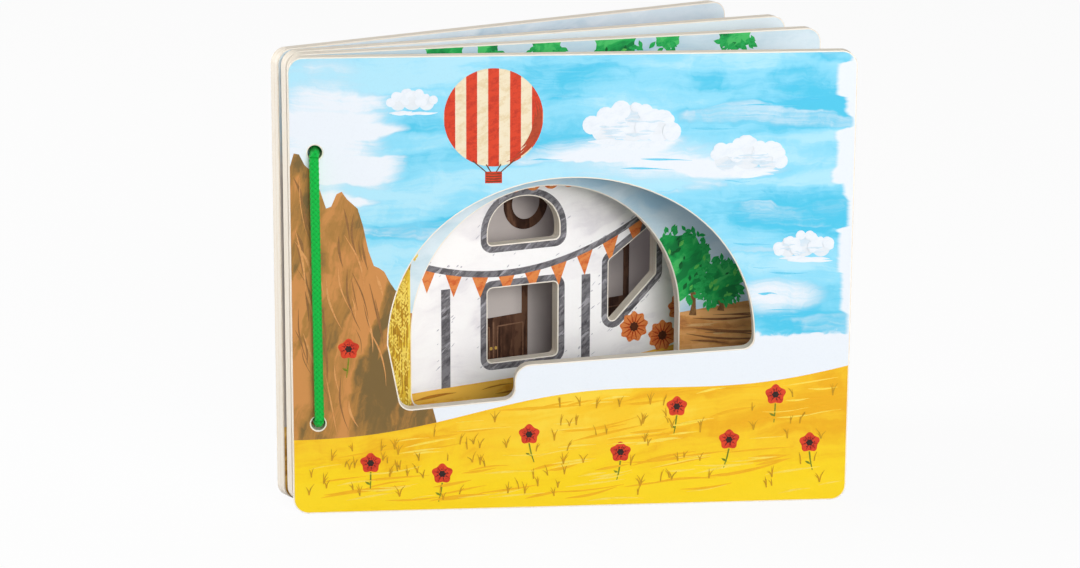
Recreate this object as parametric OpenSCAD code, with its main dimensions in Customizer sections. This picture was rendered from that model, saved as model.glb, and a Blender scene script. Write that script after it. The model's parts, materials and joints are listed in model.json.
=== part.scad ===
// Picture book of four thick wooden boards, threaded on one loop of cord.
// The three front boards have cut-outs, so the boards behind show through them.
// Millimetres, +Z up. The front board faces -Y and runs along X.
// The book stands on its bottom edges, a little fanned open about its spine.

/* [Boards] */
// Length of a board, from the spine edge to the fore edge
board_w = 218; // [200:1:260]
// Height of a board
board_h = 180; // [170:1:220]
// Thickness of a board
board_t = 5; // [3:0.1:8]
// Radius of a board's four corners
corner_r = 6; // [2:0.5:10]

/* [Fan] */
// Gap between two boards when the book is shut
shut_gap = 0.7; // [0.6:0.1:2]
// Distance of the spine's turning line from the spine edges
spine_inset = 2.5; // [2.3:0.1:4]
// Angle between the front board and the second board
front_angle = 12.7; // [3:0.1:30]
// Angle between the second board and the third board
second_angle = 7.0; // [3:0.1:30]
// Angle between the third board and the back board
third_angle = 9.9; // [3:0.1:30]

/* [Binding holes] */
// Radius of a binding hole
hole_r = 2.8; // [2.6:0.1:4]
// Distance of the binding holes from the spine edge
hole_x = 10; // [8:0.5:14]
// Distance of the binding holes from the bottom and from the top
hole_z = 36.5; // [20:0.5:60]

/* [Binding cord] */
// Diameter of the cord
cord_d = 3.8; // [3:0.1:4]
// Clearance between the cord and the print that it lies on
cord_clearance = 0.1; // [0.1:0.05:0.5]
// How far the front run of the cord leans from hole to hole
cord_lean = 0.8; // [0:0.1:1]
// Diameter of the knot behind the back board
knot_d = 8; // [6:0.2:12]
// Length of the knot along the cord
knot_length = 13; // [8:0.5:20]
// Length of the two loose ends below the knot
tail_length = 15; // [8:1:25]

/* [Print] */
// Thickness of one layer of print
print_t = 0.1; // [0.05:0.01:0.12]
// Bare wood left round the print at the edges, the cut-outs and the holes
print_margin = 0.5; // [0.2:0.1:1]

/* [Front window] */
// Middle of the front window's arch
front_window_x = 108.6; // [104:0.1:112]
// Half of the front window's width
front_window_half = 71.3; // [66:0.1:74]
// Top of the front window's arch
front_window_top = 132; // [126:0.5:136]
// Radius of the arch at its crown
front_crown_r = 80; // [78:0.5:90]
// Height where the arch springs from the straight sides
front_spring_z = 67.5; // [66:0.5:70]
// Height of the window's sill at the right side
front_sill_z = 63; // [60:0.5:64]
// Slope of the right sill
front_sill_slope = 3.1; // [0:0.1:3.5]
// Place of the step between the low sill and the right sill
front_step_x = 86.3; // [80:0.1:95]
// Height of the low sill at its left corner
low_sill_z = 41; // [36:0.5:46]
// Slope of the low sill
low_sill_slope = 4.5; // [0:0.1:6]
// How far the left side leans in towards the low sill
low_lean = 5; // [2:0.5:8]
// Fillet of the step's corner
step_r = 6.5; // [3:0.5:8]
// Fillet of the window's other corners
front_corner_r = 4.5; // [2:0.5:5]

/* [Second arch] */
// Middle of the second board's arch
second_arch_x = 103.2; // [95:0.1:112]
// Radius of the second board's arch
second_arch_r = 55.8; // [48:0.1:60]
// Height of the arch's centre
second_spring_z = 67; // [64:0.5:74]
// Height of the second arch's sill
second_sill_z = 36; // [28:0.5:44]
// Fillet of the sill's two corners
second_corner_r = 6; // [2:0.5:8]

/* [Third windows] */
// Left side of the round-topped window
round_window_left = 84.4; // [82:0.1:86]
// Width of the round-topped window
round_window_w = 31.6; // [29:0.1:33]
// Sill of the round-topped window
round_window_sill = 96.3; // [92:0.1:98]
// Top of the round-topped window
round_window_top = 115.1; // [113:0.1:117]
// Radius of the round-topped window at its crown
round_crown_r = 20; // [18:0.5:24]
// Height where the round top springs
round_spring_z = 101; // [100:0.1:101.5]
// Left side of the square window
square_window_left = 84.3; // [80:0.1:88]
// Width of the square window
square_window_w = 31; // [26:0.1:34]
// Sill of the square window
square_window_sill = 48; // [44:0.5:54]
// Height of the square window
square_window_h = 30.6; // [24:0.1:34]
// Left side of the slanted window
slanted_window_left = 138.2; // [134:0.1:142]
// Width of the slanted window
slanted_window_w = 21.3; // [16:0.1:24]
// Sill of the slanted window at its left side
slanted_window_sill = 57; // [52:0.5:60]
// Height of the slanted window's left side
slanted_window_h = 28; // [22:0.5:34]
// Slope of the slanted window's sill
slanted_sill_slope = 43.8; // [30:0.1:46]
// Slope of the slanted window's top
slanted_top_slope = 34.3; // [30:0.1:46]
// Fillet of the corners of the third board's windows
pane_r = 2; // [0.5:0.5:3]

/* [Front picture] */
// Top of the meadow at the spine
meadow_left_z = 31; // [22:1:32]
// Top of the meadow at the fore edge
meadow_right_z = 56; // [44:1:58]
// Height of the crag
crag_top_z = 146; // [110:1:156]
// Width of the crag at its foot
crag_w = 60; // [40:1:64]
// Middle of the balloon, along the board
balloon_x = 78; // [60:1:90]
// Middle of the balloon, up the board
balloon_z = 156; // [150:1:160]
// Radius of the balloon
balloon_r = 19; // [12:0.5:20]
// Width of the balloon's basket
basket_w = 6.5; // [4:0.5:8]
// Radius of a poppy
poppy_r = 3.8; // [2:0.2:4.4]

/* [Second picture] */
// Top of the field at the spine
field_left_z = 74; // [60:1:80]
// Top of the field at the fore edge
field_right_z = 66; // [56:1:80]
// Width of the wheat strip
wheat_w = 12; // [6:1:20]
// Radius of the largest bush
bush_r = 19; // [12:1:24]
// Radius of the largest clump of leaves at the top of the board
clump_r = 9; // [6:1:16]

/* [Third picture] */
// Top of the yard at the fore edge
yard_z = 52; // [36:1:54]
// Width of a window's surround
surround_w = 2.6; // [1:0.1:4]
// Width of the awning
awning_w = 48; // [30:1:50]
// Radius of a marigold
marigold_r = 6; // [3:0.5:7]

/* [Back picture] */
// Top of the floor
floor_z = 30; // [15:1:40]
// Width of the cupboard
cupboard_w = 34; // [24:1:40]
// Height of the cupboard
cupboard_h = 52; // [35:1:60]
// Radius of the round shelf frames
frame_r = 11; // [6:0.5:13]

/* [Hidden] */
$fn = 64;

// Numbers of the four boards, from the front
FRONT = 0;
SECOND = 1;
THIRD = 2;
BACK = 3;
boards = 4;

// Pitch of the shut boards, and the place of each front face ahead of the spine's turning line
pitch = board_t + shut_gap;
face_ahead = [for (k = [0 : boards - 1]) ((boards - 1) / 2 - k) * pitch + board_t / 2];
fan = [0, front_angle, front_angle + second_angle, front_angle + second_angle + third_angle];

// The cord's own radius and the distance of its runs from the faces of the boards
cord_r = cord_d / 2;
run_off = cord_r + 2 * print_t + cord_clearance;
bend_r = run_off + cord_clearance;
low_hole = hole_z;
high_hole = board_h - hole_z;
cord_sides = 8;

// Middle of the whole book, so that its origin is the bottom centre of its box
function turned(p, a) = [p.x * cos(a) - p.y * sin(a), p.x * sin(a) + p.y * cos(a), p.z];
corners = [
    for (k = [0 : boards - 1], x = [0, board_w], y = [0, board_t])
        turned([spine_inset + x, y - face_ahead[k], 0], fan[k])
];
x_ends = [for (c = corners) c.x];
y_ends = concat([for (c = corners) c.y], [-face_ahead[FRONT] - run_off - cord_r]);
book_middle = [(min(x_ends) + max(x_ends)) / 2, (min(y_ends) + max(y_ends)) / 2, 0];

// A point on a board, in millimetres from its front lower spine corner, placed in the book
function placed(k, p) = turned([spine_inset + p.x, p.y - face_ahead[k], p.z], fan[k]) - book_middle;

// Outline helpers: arcs, grown outlines and filleted corners
function arc(cx, cz, r, from, to, steps = 24) =
    [for (i = [0 : steps]) let (a = from + (to - from) * i / steps) [cx + r * cos(a), cz + r * sin(a)]];
function unit(v) = v / norm(v);
function outward(a, b) = let (d = unit(b - a)) [d.y, -d.x];
function neighbour(list, i) = list[(i + len(list)) % len(list)];
function grown_corner(a, b, c, g) =
    let (n = outward(a, b), m = outward(b, c)) b + g * (n + m) / (1 + n * m);
function grown(points, g) = [
    for (i = [0 : len(points) - 1])
        grown_corner(neighbour(points, i - 1), points[i], neighbour(points, i + 1), g)
];
function fillet(a, b, c, r, steps = 6) =
    let (
        to_a = unit(a - b),
        to_c = unit(c - b),
        half = acos(to_a * to_c) / 2,
        middle = b + unit(to_a + to_c) * r / sin(half),
        start = b + to_a * r / tan(half) - middle,
        finish = b + to_c * r / tan(half) - middle,
        side = sign(start.x * finish.y - start.y * finish.x),
        sweep = side * (180 - 2 * half),
        first = atan2(start.y, start.x)
    )
    [for (i = [0 : steps]) middle + r * [cos(first + sweep * i / steps), sin(first + sweep * i / steps)]];
function filleted(points, radii) = [
    for (i = [0 : len(points) - 1])
        each fillet(neighbour(points, i - 1), points[i], neighbour(points, i + 1), radii[i])
];

// An arch with a wide crown and tighter shoulders, from its right spring to its left spring
function shoulder_r(half, rise, crown) = (crown * crown - half * half - rise * rise) / (2 * (crown - half));
function basket_arch(cx, half, top, crown, spring, g) =
    let (
        rise = spring - (top - crown),
        r = shoulder_r(half, rise, crown),
        join = atan2(rise, half - r)
    )
    concat(
        arc(cx + half - r, spring, r + g, 0, join, 16),
        arc(cx, top - crown, crown + g, join, 180 - join, 20),
        arc(cx - half + r, spring, r + g, 180 - join, 180, 16)
    );

// Cut-outs, each grown by g

module front_window(g = 0) {
    right = front_window_x + front_window_half;
    left = front_window_x - front_window_half;
    step_z = front_sill_z - (right - front_step_x) * tan(front_sill_slope);
    low_corner_x = left + low_lean;
    low_step_z = low_sill_z + (front_step_x - low_corner_x) * tan(low_sill_slope);
    sill = [
        [left, front_spring_z],
        [low_corner_x, low_sill_z],
        [front_step_x, low_step_z],
        [front_step_x, step_z],
        [right, front_sill_z],
        [right, front_spring_z]
    ];
    sill_g = grown(sill, g);
    low_r = front_corner_r + g;
    polygon(concat(
        basket_arch(front_window_x, front_window_half, front_window_top, front_crown_r, front_spring_z, g),
        fillet(sill_g[0], sill_g[1], sill_g[2], low_r),
        fillet(sill_g[1], sill_g[2], sill_g[3], low_r),
        fillet(sill_g[2], sill_g[3], sill_g[4], step_r - g),
        fillet(sill_g[3], sill_g[4], sill_g[5], min(low_r, front_spring_z - front_sill_z))
    ));
}

module second_arch(g = 0) {
    left = second_arch_x - second_arch_r;
    right = second_arch_x + second_arch_r;
    sill = [[left, second_spring_z], [left, second_sill_z], [right, second_sill_z], [right, second_spring_z]];
    sill_g = grown(sill, g);
    polygon(concat(
        arc(second_arch_x, second_spring_z, second_arch_r + g, 0, 180, 40),
        fillet(sill_g[0], sill_g[1], sill_g[2], second_corner_r + g),
        fillet(sill_g[1], sill_g[2], sill_g[3], second_corner_r + g)
    ));
}

module round_window(g = 0) {
    half = round_window_w / 2;
    middle = round_window_left + half;
    right = round_window_left + round_window_w;
    sill = [
        [round_window_left, round_spring_z],
        [round_window_left, round_window_sill],
        [right, round_window_sill],
        [right, round_spring_z]
    ];
    sill_g = grown(sill, g);
    polygon(concat(
        basket_arch(middle, half, round_window_top, round_crown_r, round_spring_z, g),
        fillet(sill_g[0], sill_g[1], sill_g[2], pane_r + g),
        fillet(sill_g[1], sill_g[2], sill_g[3], pane_r + g)
    ));
}

module square_window(g = 0) {
    right = square_window_left + square_window_w;
    top = square_window_sill + square_window_h;
    pane = [
        [square_window_left, square_window_sill],
        [right, square_window_sill],
        [right, top],
        [square_window_left, top]
    ];
    polygon(filleted(grown(pane, g), [for (p = pane) pane_r + g]));
}

module slanted_window(g = 0) {
    right = slanted_window_left + slanted_window_w;
    top = slanted_window_sill + slanted_window_h;
    pane = [
        [slanted_window_left, slanted_window_sill],
        [right, slanted_window_sill + slanted_window_w * tan(slanted_sill_slope)],
        [right, top + slanted_window_w * tan(slanted_top_slope)],
        [slanted_window_left, top]
    ];
    polygon(filleted(grown(pane, g), [for (p = pane) pane_r + g]));
}

module third_windows(g = 0) {
    round_window(g);
    square_window(g);
    slanted_window(g);
}

module binding_holes(g = 0) {
    for (z = [low_hole, high_hole])
        translate([hole_x, z])
            circle(r = hole_r + g);
}

// Rounded outline of a board, drawn in by g on every side
module board_outline(g = 0) {
    r = corner_r - g;
    translate([corner_r, g])
        square([board_w - 2 * corner_r, board_h - 2 * g]);
    translate([g, corner_r])
        square([board_w - 2 * g, board_h - 2 * corner_r]);
    for (x = [corner_r, board_w - corner_r], z = [corner_r, board_h - corner_r])
        translate([x, z])
            circle(r = r);
}

// A solid board of the book, cut by the children's outline
module board(k) {
    translate(-book_middle)
        rotate([0, 0, fan[k]])
            translate([spine_inset, board_t - face_ahead[k], 0])
                rotate([90, 0, 0])
                    linear_extrude(board_t)
                        difference() {
                            board_outline();
                            binding_holes();
                            children();
                        }
}

// One layer of print on the front of a board: level 0 lies on the wood, level 1 on level 0
module print_on(k, level) {
    translate(-book_middle)
        rotate([0, 0, fan[k]])
            translate([spine_inset, -face_ahead[k] - level * print_t, 0])
                rotate([90, 0, 0])
                    linear_extrude(print_t)
                        children();
}

// One layer of print on the back of a board
module print_behind(k) {
    translate(-book_middle)
        rotate([0, 0, fan[k]])
            translate([spine_inset, board_t + print_t - face_ahead[k], 0])
                rotate([90, 0, 0])
                    linear_extrude(print_t)
                        children();
}

// The area that takes print on each board: all but the margins
module printable(k) {
    difference() {
        board_outline(print_margin);
        binding_holes(print_margin);
        if (k == FRONT) front_window(print_margin);
        if (k == SECOND) second_arch(print_margin);
        if (k == THIRD) third_windows(print_margin);
    }
}

// Simple shapes of the pictures

// Ground with a rolling top, right across the board
module ground(left_z, right_z, swell, waves, shift, steps = 40) {
    polygon(concat(
        [[0, 0], [board_w, 0]],
        [
            for (i = [steps : -1 : 0])
                let (s = i / steps)
                [s * board_w, left_z + (right_z - left_z) * s + swell * sin(360 * waves * s + shift)]
        ]
    ));
}

// A soft-edged round shape with n lobes
module lobed(r, n, depth, steps = 48) {
    polygon([
        for (i = [0 : steps - 1])
            let (a = 360 * i / steps, d = r * (1 + depth * sin(n * a)))
            [d * cos(a), d * sin(a)]
    ]);
}

// A row of scallops hanging from a line
module scallops(x, z, pitch_x, count, r) {
    for (i = [0 : count - 1])
        translate([x + i * pitch_x, z])
            circle(r = r);
}

// Front picture: a crag over a poppy meadow, and a striped balloon in a windy sky

// Places on a board, from shares of its length and height
function spots(shares) = [for (s = shares) [s[0] * board_w, s[1] * board_h]];
// Places of the poppies on the meadow and at the foot of the crag
poppies = spots([
    [0.101, 0.367], [0.138, 0.111], [0.266, 0.083], [0.422, 0.167], [0.587, 0.122],
    [0.688, 0.222], [0.784, 0.144], [0.867, 0.244], [0.931, 0.133]
]);
// Places and half-widths of the bare clouds
clouds = spots([[0.216, 0.906], [0.601, 0.85], [0.807, 0.778], [0.913, 0.578]]);
cloud_halves = [9, 17, 14, 11];

module meadow_shape() {
    ground(meadow_left_z, meadow_right_z, 3, 1.4, 200);
}

module crag_shape() {
    polygon(concat(
        [[0, 10], [crag_w, 10]],
        [
            for (i = [30 : -1 : 0])
                let (s = i / 30, fall = pow(cos(90 * s), 0.7))
                [crag_w * s, 10 + (crag_top_z - 10) * fall * (0.93 + 0.05 * sin(1150 * s) + 0.02 * sin(2600 * s))]
        ]
    ));
}

module balloon_shape() {
    translate([balloon_x, balloon_z])
        circle(r = balloon_r);
}

module basket_shape() {
    translate([balloon_x - basket_w / 2, balloon_z - balloon_r - basket_w])
        square([basket_w, basket_w * 0.7]);
}

module balloon_stripes() {
    intersection() {
        balloon_shape();
        for (i = [-2 : 2])
            translate([balloon_x + i * balloon_r * 0.44 - balloon_r * 0.11, balloon_z - balloon_r])
                square([balloon_r * 0.22, 2 * balloon_r]);
    }
}

module poppy_shapes() {
    for (p = poppies)
        translate(p)
            lobed(poppy_r, 5, 0.12, 40);
}

module cloud_shapes() {
    for (k = [0 : len(clouds) - 1])
        translate(clouds[k])
            for (i = [-1 : 1])
                translate([i * cloud_halves[k] * 0.6, -abs(i) * cloud_halves[k] * 0.12])
                    circle(r = cloud_halves[k] * (0.42 - 0.1 * abs(i)));
}

// Second picture: bushes and clumps of leaves over a ploughed field with a strip of wheat

module field_shape() {
    ground(field_left_z, field_right_z, 4, 1.2, 30);
}

module wheat_shape() {
    intersection() {
        difference() {
            translate([board_w * 0.16, 0])
                square([wheat_w, board_h]);
            ground(20, 20, 2, 3, 0);
        }
        ground(field_left_z + 24, field_right_z + 24, 3, 6, 90);
    }
}

// Clumps of leaves along the top: places as shares of the board's length, and sizes as shares of clump_r
clumps = [[0.28, 0.9], [0.36, 0.5], [0.47, 0.7], [0.6, 1], [0.7, 0.6], [0.83, 0.8]];
// Bushes: places as shares of the board's length and height, and sizes as shares of bush_r
bushes = [[0.725, 0.478, 0.72], [0.812, 0.433, 0.45], [0.128, 0.6, 0.6]];

module green_shapes() {
    difference() {
        union() {
            for (c = clumps)
                translate([board_w * c[0], board_h])
                    lobed(clump_r * c[1], 7, 0.1);
            for (b = bushes)
                translate([board_w * b[0], board_h * b[1]])
                    lobed(bush_r * b[2], 7, 0.07);
        }
        field_shape();
    }
}

// Third picture: a rendered house wall with an awning and bunting, and marigolds in the yard

// Middles of the marigolds
marigolds = spots([[0.688, 0.311], [0.748, 0.283], [0.789, 0.344], [0.844, 0.278]]);
// The bunting's two ends, and how far its line sags between them
bunting_left = [board_w * 0.239, board_h * 0.511];
bunting_right = [board_w * 0.77, board_h * 0.622];
bunting_sag = 16;
function bunting_at(s) = [
    bunting_left.x + (bunting_right.x - bunting_left.x) * s,
    bunting_left.y + (bunting_right.y - bunting_left.y) * s - 4 * bunting_sag * s * (1 - s)
];

module yard_shape() {
    ground(yard_z - 19, yard_z, 2, 1, 40);
}

module surround_shapes() {
    difference() {
        union() {
            round_window(print_margin + surround_w);
            square_window(print_margin + surround_w);
            slanted_window(print_margin + surround_w);
            bunting_line();
            door_posts();
        }
        yard_shape();
        third_orange_shapes();
    }
}

// The line of the bunting, as thick as a window's surround
module bunting_line(steps = 30) {
    half = [0, surround_w / 2];
    polygon(concat(
        [for (i = [0 : steps]) bunting_at(i / steps) - half],
        [for (i = [steps : -1 : 0]) bunting_at(i / steps) + half]
    ));
}

// Flags hang from the bunting's line
module bunting_flags(count = 10) {
    for (i = [0 : count - 1]) {
        a = bunting_at((i + 0.2) / count) - [0, surround_w / 2];
        b = bunting_at((i + 0.8) / count) - [0, surround_w / 2];
        polygon([a, [(a.x + b.x) / 2, min(a.y, b.y) - 8], b]);
    }
}

// Two posts of a porch stand in the yard
module door_posts() {
    for (s = [0.294, 0.578])
        translate([board_w * s, board_h * 0.056])
            square([surround_w * 1.5, board_h * 0.39]);
}

module third_orange_shapes() {
    middle = round_window_left + round_window_w / 2;
    foot = round_window_top + surround_w + 3;
    translate([middle - awning_w / 2, foot])
        square([awning_w, 7]);
    scallops(middle - awning_w / 2 + awning_w / 12, foot, awning_w / 6, 6, awning_w / 12 - 0.3);
    bunting_flags();
    for (m = marigolds)
        translate(m)
            lobed(marigold_r, 9, 0.1);
}

// Back picture: the room behind, with a cupboard, round frames and a floor

module floor_shape() {
    ground(floor_z, floor_z, 1.5, 2, 0);
}

module furniture_shapes() {
    for (x = board_w * [0.459, 0.697])
        difference() {
            translate([x - cupboard_w / 2, floor_z + 4])
                square([cupboard_w, cupboard_h]);
            translate([x - cupboard_w / 2 + 3, floor_z + cupboard_h / 2 + 4])
                square([cupboard_w - 6, cupboard_h / 2 - 6]);
        }
    for (x = board_w * [0.404, 0.532, 0.66])
        difference() {
            translate([x, board_h * 0.589])
                circle(r = frame_r);
            translate([x, board_h * 0.589])
                circle(r = frame_r * 0.62);
        }
}

// The cord: one closed loop, down the front, through every board and up the back

// A quarter bend at a hole: up is +1 at the lower hole, and out is -1 at the front or +1 at the back
function bend_points(k, z, up, out, lean) =
    let (face = out < 0 ? 0 : board_t, middle_y = face + out * (run_off - bend_r))
    [
        for (i = [0 : 4])
            let (a = 22.5 * i)
            placed(k, [
                hole_x + lean * cos(a),
                middle_y + out * bend_r * cos(a),
                z + up * (hole_r - bend_r * sin(a))
            ])
    ];
function inside_hole(k, z, up) = placed(k, [hole_x, board_t / 2, z + up * (hole_r - bend_r)]);
function halfway(a, b, c, d) = (9 * (b + c) - a - d) / 16;
function through_points(z, up) =
    let (m = [for (k = [0 : boards - 1]) inside_hole(k, z, up)])
    [
        m[0], halfway(2 * m[0] - m[1], m[0], m[1], m[2]),
        m[1], halfway(m[0], m[1], m[2], m[3]),
        m[2], halfway(m[1], m[2], m[3], 2 * m[3] - m[2]), m[3]
    ];
function reversed(list) = [for (i = [len(list) - 1 : -1 : 0]) list[i]];

// Runs between the bends, with the knot half way up the back run
knot_z = board_h / 2;
run_low = low_hole + hole_r;
run_high = high_hole - hole_r;
front_steps = 10;
front_run = [
    for (i = [1 : front_steps - 1])
        let (s = i / front_steps)
        placed(FRONT, [hole_x + cord_lean * (s - 0.5), -run_off, run_high + (run_low - run_high) * s])
];
knot_foot = knot_z - knot_length / 2;
knot_head = knot_z + knot_length / 2;
back_heights = concat(
    [for (i = [1 : 4]) run_low + (knot_foot - run_low) * i / 5],
    [for (i = [-4 : 4]) knot_z + knot_length / 2 * i / 4],
    [for (i = [1 : 4]) knot_head + (run_high - knot_head) * i / 5]
);
function knot_swell(z) =
    let (s = min(1, abs(z - knot_z) / (knot_length / 2)))
    (knot_d / 2 - cord_r) * pow(cos(90 * s), 0.6);
back_run = [for (z = back_heights) placed(BACK, [hole_x, board_t + run_off + knot_swell(z), z])];

loop_points = concat(
    front_run,
    bend_points(FRONT, low_hole, 1, -1, cord_lean / 2),
    through_points(low_hole, 1),
    reversed(bend_points(BACK, low_hole, 1, 1, 0)),
    back_run,
    bend_points(BACK, high_hole, -1, 1, 0),
    reversed(through_points(high_hole, -1)),
    reversed(bend_points(FRONT, high_hole, -1, -1, -cord_lean / 2))
);
knot_first = len(front_run) + 5 + 7 + 5 + 4;
loop_radii = [
    for (i = [0 : len(loop_points) - 1])
        let (j = i - knot_first)
        j >= 0 && j <= 8 ? cord_r + knot_swell(back_heights[j + 4]) : cord_r
];

// The two loose ends lie on the back board, below the knot
tail_y = board_t + run_off;
function tail_points(side) = [
    for (i = [0 : 3])
        let (s = i / 3)
        placed(BACK, [
            hole_x + side * (2 + 3.4 * sin(90 * s)),
            tail_y + (knot_d / 2 - cord_r) * (1 - s) * 0.6,
            knot_z - 1.5 - (knot_length / 2 - 3 + tail_length) * s
        ])
];

// A ring of the sweep, square to the way that the cord runs
function ring(p, along, r) =
    let (
        t = unit(along),
        side = unit([1, 0, 0] - t.x * t),
        other = cross(t, side)
    )
    [for (i = [0 : cord_sides - 1]) let (a = 360 * i / cord_sides) p + r * (cos(a) * side + sin(a) * other)];

module swept_loop(points, radii) {
    n = len(points);
    rings = [
        for (i = [0 : n - 1])
            each ring(points[i], neighbour(points, i + 1) - neighbour(points, i - 1), radii[i])
    ];
    faces = [
        for (i = [0 : n - 1], j = [0 : cord_sides - 1])
            let (
                a = i * cord_sides + j,
                b = i * cord_sides + (j + 1) % cord_sides,
                c = ((i + 1) % n) * cord_sides + (j + 1) % cord_sides,
                d = ((i + 1) % n) * cord_sides + j
            )
            each [[a, b, c], [a, c, d]]
    ];
    polyhedron(points = rings, faces = [for (f = faces) [f[0], f[2], f[1]]]);
}

module swept_end(points, r) {
    n = len(points);
    last = n - 1;
    rings = [
        for (i = [0 : last])
            each ring(points[i], points[min(i + 1, last)] - points[max(i - 1, 0)], r)
    ];
    walls = [
        for (i = [0 : last - 1], j = [0 : cord_sides - 1])
            let (
                a = i * cord_sides + j,
                b = i * cord_sides + (j + 1) % cord_sides,
                c = (i + 1) * cord_sides + (j + 1) % cord_sides,
                d = (i + 1) * cord_sides + j
            )
            each [[a, c, b], [a, d, c]]
    ];
    start_cap = [for (j = [0 : cord_sides - 1]) j];
    end_cap = [for (j = [cord_sides - 1 : -1 : 0]) last * cord_sides + j];
    polyhedron(points = rings, faces = concat(walls, [start_cap, end_cap]));
}

// Sub-parts: the boards

module front_board() {
    color("burlywood")
        board(FRONT)
            front_window();
}

module second_board() {
    color("burlywood")
        board(SECOND)
            second_arch();
}

module third_board() {
    color("burlywood")
        board(THIRD)
            third_windows();
}

module back_board() {
    color("burlywood")
        board(BACK);
}

module binding_cord() {
    color("limegreen") {
        swept_loop(loop_points, loop_radii);
        swept_end(tail_points(-1), cord_r);
        swept_end(tail_points(1), cord_r);
    }
}

// Sub-parts: the print of the front board

module front_base() {
    color("white")
        print_on(FRONT, 0)
            printable(FRONT);
}

module front_sky() {
    color("skyblue")
        print_on(FRONT, 1)
            difference() {
                printable(FRONT);
                meadow_shape();
                crag_shape();
                balloon_shape();
                basket_shape();
                poppy_shapes();
                cloud_shapes();
            }
}

module front_crag() {
    color("peru")
        print_on(FRONT, 1)
            intersection() {
                printable(FRONT);
                difference() {
                    crag_shape();
                    meadow_shape();
                    poppy_shapes();
                    balloon_shape();
                    basket_shape();
                    cloud_shapes();
                }
            }
}

module front_meadow() {
    color("gold")
        print_on(FRONT, 1)
            intersection() {
                printable(FRONT);
                difference() {
                    meadow_shape();
                    poppy_shapes();
                }
            }
}

module front_red() {
    color("orangered")
        print_on(FRONT, 1)
            intersection() {
                printable(FRONT);
                union() {
                    poppy_shapes();
                    balloon_stripes();
                    basket_shape();
                }
            }
}

module front_cream() {
    color("navajowhite")
        print_on(FRONT, 1)
            intersection() {
                printable(FRONT);
                difference() {
                    balloon_shape();
                    balloon_stripes();
                }
            }
}

// Sub-parts: the print of the second board

module second_base() {
    color("white")
        print_on(SECOND, 0)
            printable(SECOND);
}

module second_sky() {
    color("lightsteelblue")
        print_on(SECOND, 1)
            difference() {
                printable(SECOND);
                field_shape();
                green_shapes();
                wheat_shape();
            }
}

module second_green() {
    color("darkseagreen")
        print_on(SECOND, 1)
            intersection() {
                printable(SECOND);
                difference() {
                    green_shapes();
                    wheat_shape();
                }
            }
}

module second_field() {
    color("sienna")
        print_on(SECOND, 1)
            intersection() {
                printable(SECOND);
                difference() {
                    field_shape();
                    wheat_shape();
                }
            }
}

module second_wheat() {
    color("khaki")
        print_on(SECOND, 1)
            intersection() {
                printable(SECOND);
                wheat_shape();
            }
}

// Sub-parts: the print of the third board

module third_wall() {
    color("lavender")
        print_on(THIRD, 0)
            printable(THIRD);
}

module third_surrounds() {
    color("dimgray")
        print_on(THIRD, 1)
            intersection() {
                printable(THIRD);
                surround_shapes();
            }
}

module third_orange() {
    color("darkorange")
        print_on(THIRD, 1)
            intersection() {
                printable(THIRD);
                third_orange_shapes();
            }
}

module third_yard() {
    color("goldenrod")
        print_on(THIRD, 1)
            intersection() {
                printable(THIRD);
                difference() {
                    yard_shape();
                    third_orange_shapes();
                }
            }
}

// Sub-parts: the print of the back board

module back_wall() {
    color("silver")
        print_on(BACK, 0)
            printable(BACK);
}

module back_furniture() {
    color("saddlebrown")
        print_on(BACK, 1)
            intersection() {
                printable(BACK);
                furniture_shapes();
            }
}

module back_floor() {
    color("tan")
        print_on(BACK, 1)
            intersection() {
                printable(BACK);
                floor_shape();
            }
}

// Sub-parts: the plain print on the backs of the boards

module front_reverse() {
    color("aliceblue")
        print_behind(FRONT)
            printable(FRONT);
}

module second_reverse() {
    color("honeydew")
        print_behind(SECOND)
            printable(SECOND);
}

module third_reverse() {
    color("lavenderblush")
        print_behind(THIRD)
            printable(THIRD);
}

module back_reverse() {
    color("lightcyan")
        print_behind(BACK)
            printable(BACK);
}

front_board();
second_board();
third_board();
back_board();
binding_cord();
front_base();
front_sky();
front_crag();
front_meadow();
front_red();
front_cream();
second_base();
second_sky();
second_green();
second_field();
second_wheat();
third_wall();
third_surrounds();
third_orange();
third_yard();
back_wall();
back_furniture();
back_floor();
front_reverse();
second_reverse();
third_reverse();
back_reverse();
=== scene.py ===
"""Picture book of four painted wooden boards, threaded on a loop of braided cord.

The boards, their cut-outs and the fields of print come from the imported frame. This file
gives them their wood and watercolour finishes, adds the brush marks of the pictures, and
builds the braided cord with its knot, so that it follows the boards as they turn.
"""

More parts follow.
